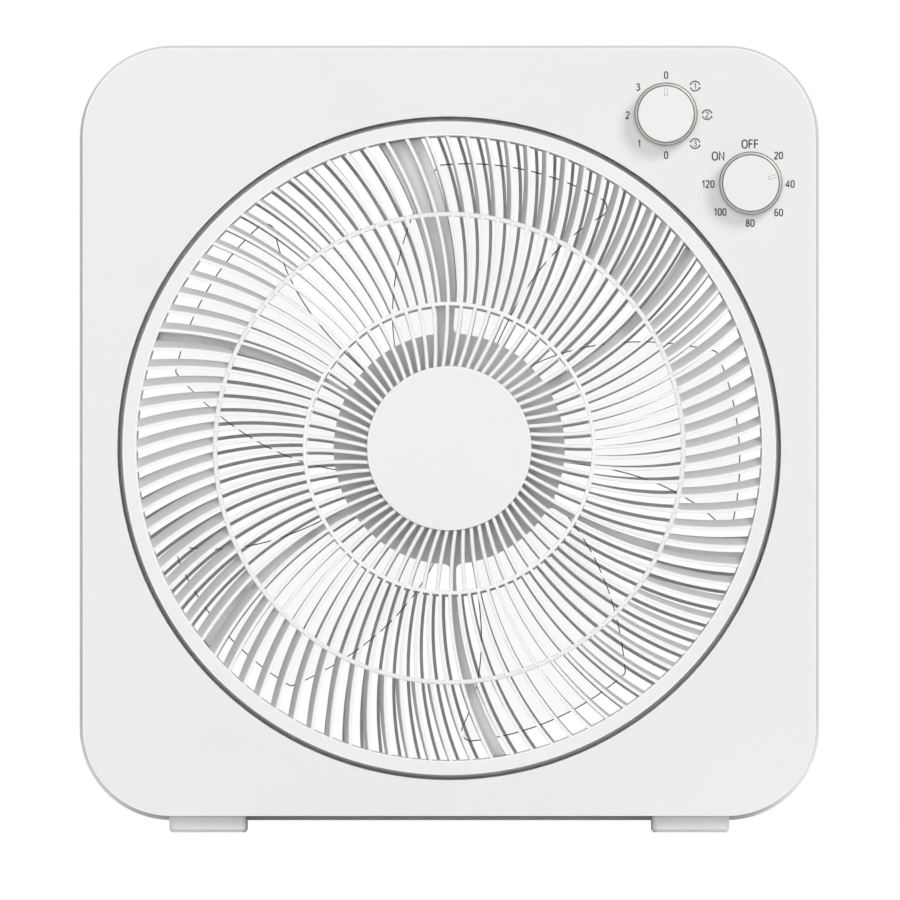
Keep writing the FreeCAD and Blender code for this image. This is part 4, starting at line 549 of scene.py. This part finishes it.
GUARD_FRONT = -109.7
GUARD_BACK = -121.7
FLANGE = [(158.9, -117.6), (172.0, -117.6), (172.0, -119.8, 0.6), (158.9, -119.8)]
FLANGE_ROUND = 0.2
GUARD_RIM = (157.1, 159.7)
GUARD_RING = (71.2, 72.4)
PLATE_RING = (49.8, 52.0)
PLATE = (0.01, 50.9)
PLATE_FRONT = -115.3
PLATE_BACK = -118.8
GUARD_RIM_ROUND = 0.6
GUARD_RING_ROUND = 0.4
GUARD_RIB_SPAN = (72.0, 157.4)
GUARD_HUB_RIB_SPAN = (51.6, 70.6)
GUARD_RIB_STEPS = 16
GUARD_HUB_RIB_STEPS = 4
GUARD_RIB_HALF = 0.8
GUARD_RIB_ROUND = 0.5
GUARD_RIB_COUNT = 100
GUARD_RIB_PHASE = 1.3
ON_RIB_SHADE = 1

# The ribs and the middle ring take painted shade, a darker copy of the guard white.
back_rib = eased([(-GUARD_RIB_HALF, GUARD_BACK), (-GUARD_RIB_HALF, GUARD_FRONT),
                  (GUARD_RIB_HALF, GUARD_FRONT), (GUARD_RIB_HALF, GUARD_BACK)], GUARD_RIB_ROUND)
rib_look = {"flank": ON_RIB_SHADE, "finish": ON_RIB_SHADE}
bm = bmesh.new()
lathe(bm, eased(FLANGE, FLANGE_ROUND))
ring(bm, *GUARD_RIM, GUARD_BACK, GUARD_FRONT, GUARD_RIM_ROUND)
ring(bm, *GUARD_RING, GUARD_BACK, GUARD_FRONT, GUARD_RING_ROUND, finish=ON_RIB_SHADE)
ring(bm, *PLATE_RING, GUARD_BACK, GUARD_FRONT, GUARD_RIM_ROUND)
ring(bm, *PLATE, PLATE_BACK, PLATE_FRONT, FLANGE_ROUND)
ribs(bm, GUARD_RIB_COUNT, GUARD_RIB_PHASE, *GUARD_RIB_SPAN, back_rib, GUARD_RIB_STEPS, **rib_look)
ribs(bm, HUB_RIB_COUNT, HUB_RIB_PHASE, *GUARD_HUB_RIB_SPAN, back_rib, GUARD_HUB_RIB_STEPS, **rib_look)
finish_piece("guard_moulding", bm, [GUARD, GUARD_RIB_SHADE], "housing", "guard", "rear_guard")

# edge of the front panel, over the rounded edge of the casing, with a painted highlight on its
# rounding; each point of the section is so far inside the edge, at a z, and gives the finish of the
# face that follows it

EDGE_REACH = 3.3
CORNER_RADIUS = 43.5
CORNER_STEPS = 24
PANEL_CORNERS = ((1, 1, 0), (-1, 1, 90), (-1, -1, 180), (1, -1, 270))
PANEL_EDGE = [(EDGE_REACH, EDGE_PROUD, 0), (0.6, EDGE_PROUD, 1), (0.15, -0.08, 1), (0.0, -0.4, 0),
              (0.0, -EDGE_REACH, 0)]
low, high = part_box("front_shell")
half_width = (high[0] - low[0]) / 2 / MM
bottom, top = low[2] / MM - AXIS_HEIGHT, high[2] / MM - AXIS_HEIGHT
bm = bmesh.new()
rows = []
for across, up, start in PANEL_CORNERS:
    x = across * (half_width - CORNER_RADIUS)
    y = top - CORNER_RADIUS if up > 0 else bottom + CORNER_RADIUS
    for step in range(CORNER_STEPS + 1):
        angle = math.radians(start + 90 * step / CORNER_STEPS)
        row = []
        for inset, z, _ in PANEL_EDGE:
            reach = CORNER_RADIUS - inset
            row.append(bm.verts.new(place(x + reach * math.cos(angle), y + reach * math.sin(angle), z)))
        rows.append(row)
for first, second in zip(rows, rows[1:] + rows[:1]):
    for face, (_, _, finish) in zip(bridge(bm, first, second), PANEL_EDGE):
        face.material_index = finish
finish_piece("panel_edge", bm, [PANEL, EDGE_HIGHLIGHT], "housing", "casing_front")

# trim rings of the knobs, a bright crown with painted shade, a darker metal, on its outer edge, and the
# edges of the faces in a painted highlight, with their pointers, whose slot floors take painted shade;
# the ring's points are so far from its inner or its outer side and below its top

RING_FLOOR = 10.8
RING_TOP = 13.2
RING_WIDTH = 1.85
RING_INSIDE = [(0.0, 0.55), (0.3, 0.2), (0.6, 0.0)]
RING_OUTSIDE = [(0.75, 0.05, 0), (0.4, 0.3, 1), (0.1, 0.8, 1), (0.0, 1.4, 0)]
FACE_PROFILE = [(13.0, 13.2), (13.0, 13.97), (13.4, 13.9), (13.65, 13.6), (13.7, 13.0), (13.35, 13.0)]
DIAL_STEPS = 96
POINTER_START = 9.0
POINTER_END = 12.9
POINTER_HALF = 0.73
POINTER_LOW, POINTER_HIGH = 13.3, 13.43
INLAY_START = 9.3
INLAY_HALF = 0.48
INLAY_LOW, INLAY_HIGH = 13.4, 13.95
SPEED_ANGLE = 90.0
TIMER_ANGLE = 15.5


def bar(bm, middle, angle, inner, outer, half, low, high, finish):
    """A flat bar along a radius of a dial."""
    corners = ((inner, -half), (outer, -half), (outer, half), (inner, half))
    outline = [middle + turned_by(Vector(corner), angle) for corner in corners]
    block(bm, outline, low, high, finish)


def dress_dial(dial, replaced, angle):
    """The trim and the face of a dial whose pointer stands at this angle."""
    low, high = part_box(replaced)
    x = (low[0] + high[0]) / 2 / MM
    y = (low[2] + high[2]) / 2 / MM - AXIS_HEIGHT
    outer = (high[0] - low[0]) / 2 / MM
    inner = outer - RING_WIDTH
    profile = [(inner, RING_FLOOR, 0)]
    profile += [(inner + inset, RING_TOP - drop, 0) for inset, drop in RING_INSIDE]
    profile += [(outer - inset, RING_TOP - drop, finish) for inset, drop, finish in RING_OUTSIDE]
    profile.append((outer, RING_FLOOR, 0))
    bm = bmesh.new()
    lathe(bm, profile, steps=DIAL_STEPS, x=x, y=y)
    finish_piece(dial + "_trim", bm, [RING, RING_EDGE_SHADE], dial, "knob_ring", replaced)
    middle = Vector((x, y))
    bm = bmesh.new()
    # The ring round the edge of the face takes a painted highlight, a brighter white than the knob; the
    # pointer's inlay takes the same white.
    lathe(bm, FACE_PROFILE, steps=DIAL_STEPS, x=x, y=y)
    # The floor of the pointer's slot takes painted shade.
    bar(bm, middle, angle, POINTER_START, POINTER_END, POINTER_HALF, POINTER_LOW, POINTER_HIGH, 1)
    bar(bm, middle, angle, INLAY_START, POINTER_END, INLAY_HALF, INLAY_LOW, INLAY_HIGH, 0)
    finish_piece(dial + "_face", bm, [EDGE_HIGHLIGHT, POINTER_SHADE], dial, "knob")


dress_dial("speed_dial", "speed_knob_ring", SPEED_ANGLE)
dress_dial("timer_dial", "timer_knob_ring", TIMER_ANGLE)

# printed marks of the two dials: characters drawn as strokes of a pen

PIXEL = 0.4926
AXIS_PIXEL = 449.1
FLOOR_PIXEL = 832.2
PRINT_PROUD = 0.05
MITRE_LIMIT = 0.45
CLOSED_WITHIN = 0.001
CHARACTER_GAP = 0.25
PEN = 0.6
WORD_PEN = 0.68
SMALL_PEN = 0.4
DIGIT_HEIGHT = 3.9
WORD_HEIGHT = 4.65
SMALL_HEIGHT = 3.2
TURN_RADIUS = 2.4
TURN_STARTS = (14, 194)
TURN_SPAN = 140
ARROW_SPAN = 16
ARROW_HALF = 1.2


def on_panel(px, py):
    """A pixel of the photograph on the front panel, in the fan frame."""
    return Vector(((px - AXIS_PIXEL) * PIXEL, (FLOOR_PIXEL - py) * PIXEL - AXIS_HEIGHT))


def arc(x, y, across, up, start, end, steps=14):
    """Points along part of an oval, between two angles."""
    angles = [math.radians(start + (end - start) * i / steps) for i in range(steps + 1)]
    return [(x + across * math.cos(a), y + up * math.sin(a)) for a in angles]


def stadium(width, half):
    """A closed upright oval with straight sides, as tall as the characters."""
    top = arc(width / 2, 1 - half, width / 2, half, 0, 180)
    return top + arc(width / 2, half, width / 2, half, 180, 360) + top[:1]


# Each character has its width and its strokes, for a height of one.
GLYPHS = {
    "0": (0.46, [stadium(0.46, 0.26)]),
    "1": (0.34, [[(0.04, 0.76), (0.26, 1.0), (0.26, 0.0)]]),
    "2": (0.46, [arc(0.23, 0.76, 0.22, 0.24, 170, -40) + [(0.0, 0.0), (0.47, 0.0)]]),
    "3": (0.46, [arc(0.22, 0.77, 0.2, 0.23, 160, -85) + arc(0.22, 0.27, 0.24, 0.27, 85, -160)]),
    "4": (0.5, [[(0.37, 0.0), (0.37, 1.0), (0.0, 0.29), (0.52, 0.29)]]),
    "6": (0.46, [arc(0.25, 0.73, 0.21, 0.27, 35, 180) + arc(0.24, 0.3, 0.23, 0.3, 180, 540)]),
    "8": (0.46, [arc(0.23, 0.76, 0.19, 0.24, -90, 270), arc(0.23, 0.26, 0.23, 0.26, 90, 450)]),
    "O": (0.62, [stadium(0.62, 0.36)]),
    "N": (0.54, [[(0.0, 0.0), (0.0, 1.0), (0.54, 0.0), (0.54, 1.0)]]),
    "F": (0.42, [[(0.0, 0.0), (0.0, 1.0), (0.44, 1.0)], [(0.0, 0.52), (0.4, 0.52)]]),
}


def ribbon(bm, points, pen):
    """A flat stroke of this width along points of the panel, just proud of it."""
    points = [Vector(point) for point in points]
    closed = (points[0] - points[-1]).length < CLOSED_WITHIN
    if closed:
        points.pop()
    count = len(points)
    rows = []
    for i, here in enumerate(points):
        before = points[i - 1] if closed or i else here * 2 - points[1]
        after = points[(i + 1) % count] if closed or i < count - 1 else here * 2 - points[i - 1]
        first, second = (here - before).normalized(), (after - here).normalized()
        along = (first + second).normalized()
        reach = pen / 2 / max(along.dot(first), MITRE_LIMIT)
        aside = Vector((-along.y, along.x)) * reach
        left, right = here + aside, here - aside
        section = ((left, 0.0), (left, PRINT_PROUD), (right, PRINT_PROUD), (right, 0.0))
        rows.append([bm.verts.new(place(point.x, point.y, z)) for point, z in section])
    for first, second in zip(rows, rows[1:] + rows[:1] if closed else rows[1:]):
        bridge(bm, first, second)
    if not closed:
        bm.faces.new(rows[0])
        bm.faces.new(rows[-1])


def write(bm, words, middle, height, pen):
    """Characters of this height, with the pen's width, about a point of the panel."""
    tall = height - pen
    width = sum(GLYPHS[letter][0] for letter in words) + CHARACTER_GAP * (len(words) - 1)
    left = -width / 2
    for letter in words:
        advance, strokes = GLYPHS[letter]
        for stroke in strokes:
            points = [middle + Vector((left + x, y - 0.5)) * tall for x, y in stroke]
            ribbon(bm, points, pen)
        left += advance + CHARACTER_GAP


def turning_arrows(bm, middle):
    """Two arrows that run round a digit, for the speeds at which the louvre turns."""
    for start in TURN_STARTS:
        end = start + TURN_SPAN
        points = [middle + Vector(p) for p in arc(0, 0, TURN_RADIUS, TURN_RADIUS, start, end)]
        ribbon(bm, points, PEN)
        root = points[-1]
        tip = middle + turned_by(Vector((TURN_RADIUS, 0.0)), end + ARROW_SPAN)
        aside = (root - middle).normalized() * PEN * ARROW_HALF
        block(bm, [root + aside, root - aside, tip], 0.0, PRINT_PROUD)


# The marks and the pixels of their middles.
SPEED_MARKS = [("0", 666, 75), ("3", 638, 87), ("2", 627.5, 115), ("1", 639, 143.5), ("0", 666, 155)]
TURN_MARKS = [("1", 695, 86), ("2", 707, 114.7), ("3", 695, 143.5)]
TIMER_MARKS = [("20", 778.5, 155.5), ("40", 790, 184), ("60", 778.5, 212.5), ("80", 750, 223),
               ("100", 720, 212), ("120", 708, 184)]
SWITCH_MARKS = [("OFF", 750, 144), ("ON", 718, 156)]
for group, marks, height, pen in (("speed", SPEED_MARKS, DIGIT_HEIGHT, PEN),
                                  ("turn", TURN_MARKS, SMALL_HEIGHT, SMALL_PEN),
                                  ("timer", TIMER_MARKS, DIGIT_HEIGHT, PEN),
                                  ("switch", SWITCH_MARKS, WORD_HEIGHT, WORD_PEN)):
    for number, (words, px, py) in enumerate(marks, 1):
        bm = bmesh.new()
        middle = on_panel(px, py)
        write(bm, words, middle, height, pen)
        if group == "turn":
            turning_arrows(bm, middle)
        finish_piece("print_%s_%d" % (group, number), bm, [INK], "housing", "dark_plastic")

# world: white where it is seen, and a soft light that falls off from left to right

WHITE = (1.0, 1.0, 1.0, 1.0)
WORLD_LEFT, WORLD_RIGHT = 0.62, 0.22


def seen_rays(tree):
    """One for rays from the camera, straight or by way of gloss or glass, and zero for the others."""
    paths = add_node(tree, "ShaderNodeLightPath").outputs
    clear = calculate(tree, "MAXIMUM", paths["Is Camera Ray"], paths["Is Transmission Ray"])
    return calculate(tree, "MAXIMUM", clear, paths["Is Glossy Ray"])


world = bpy.data.worlds.new("studio")
bpy.context.scene.world = world
world.use_nodes = True
world_tree = world.node_tree
background = world_tree.nodes["Background"]
background.inputs["Color"].default_value = WHITE
across = coordinates(world_tree, "Generated")["X"]
light = map_range(world_tree, across, -1.0, 1.0, WORLD_LEFT, WORLD_RIGHT)
level = map_range(world_tree, seen_rays(world_tree), 0.0, 1.0)
world_tree.links.new(light, level.node.inputs["To Min"])
world_tree.links.new(level, background.inputs["Strength"])

# lamps, far away in these directions of the row frame: strength and spread in degrees

SUNS = {
    "front": ((-0.05, -1.0, 0.02), 0.9, 25.0),
    "key": ((0.42, -0.8, 0.42), 1.1, 22.0),
    "back_left": ((-0.7, 0.75, 0.3), 0.75, 30.0),
    "back_right": ((0.85, 0.6, 0.3), 0.9, 30.0),
}
for name, (towards, strength, spread) in SUNS.items():
    sun = bpy.data.lights.new(name, "SUN")
    sun.energy = strength
    sun.angle = math.radians(spread)
    lamp = bpy.data.objects.new(name, sun)
    lamp.rotation_mode = "QUATERNION"
    lamp.rotation_quaternion = Vector(towards).to_track_quat("Z", "Y")
    bpy.context.scene.collection.objects.link(lamp)

# floor, in metres; its glow lifts it to the white of the background and leaves the shadow

FLOOR_HALF = 40.0
FLOOR_CORNERS = [(-FLOOR_HALF, -FLOOR_HALF, 0), (FLOOR_HALF, -FLOOR_HALF, 0),
                 (FLOOR_HALF, FLOOR_HALF, 0), (-FLOOR_HALF, FLOOR_HALF, 0)]
FLOOR_LOW, FLOOR_HIGH = (0.9, 0.9, 0.9), (0.92, 0.92, 0.92)
FLOOR_SCALE = 3.0
FLOOR_GLOW = 0.34
floor_mesh = bpy.data.meshes.new("floor")
floor_mesh.from_pydata(FLOOR_CORNERS, [], [(0, 1, 2, 3)])
floor = bpy.data.objects.new("floor", floor_mesh)
bpy.context.scene.collection.objects.link(floor)
floor_material, floor_tree, floor_shader = new_material("floor_white")
tint(floor_tree, floor_shader, noise(floor_tree, FLOOR_SCALE, detail=3.0), FLOOR_LOW, FLOOR_HIGH)
floor_shader.inputs["Roughness"].default_value = 0.9
floor_shader.inputs["Specular IOR Level"].default_value = 0.1
floor_shader.inputs["Emission Color"].default_value = WHITE
glow = map_range(floor_tree, seen_rays(floor_tree), 0.0, 1.0, 0.0, FLOOR_GLOW)
floor_tree.links.new(glow, floor_shader.inputs["Emission Strength"])
floor.data.materials.append(floor_material)

# camera: the photograph's frame is 443.3 mm wide at the front panel, and the lens is very long

LENS = 1200.0
SENSOR = 36.0
FRAME_WIDTH = 0.4433
DISTANCE = FRAME_WIDTH * LENS / SENSOR
LOOK_AT = Vector((0.0004, PANEL_Y * MM, 0.1883))
FROM_RIGHT = math.radians(0.05)
FROM_BELOW = math.radians(0.71)
camera_data = bpy.data.cameras.new("camera")
camera_data.lens = LENS
camera_data.sensor_width = SENSOR
camera_data.clip_start = 0.1
camera_data.clip_end = 200.0
camera = bpy.data.objects.new("camera", camera_data)
back = Vector((math.sin(FROM_RIGHT), -math.cos(FROM_RIGHT) * math.cos(FROM_BELOW),
               -math.sin(FROM_BELOW)))
camera.location = LOOK_AT + back * DISTANCE
camera.rotation_mode = "QUATERNION"
camera.rotation_quaternion = back.to_track_quat("Z", "Y")
bpy.context.scene.collection.objects.link(camera)
bpy.context.scene.camera = camera
bpy.context.scene.view_settings.view_transform = "Standard"
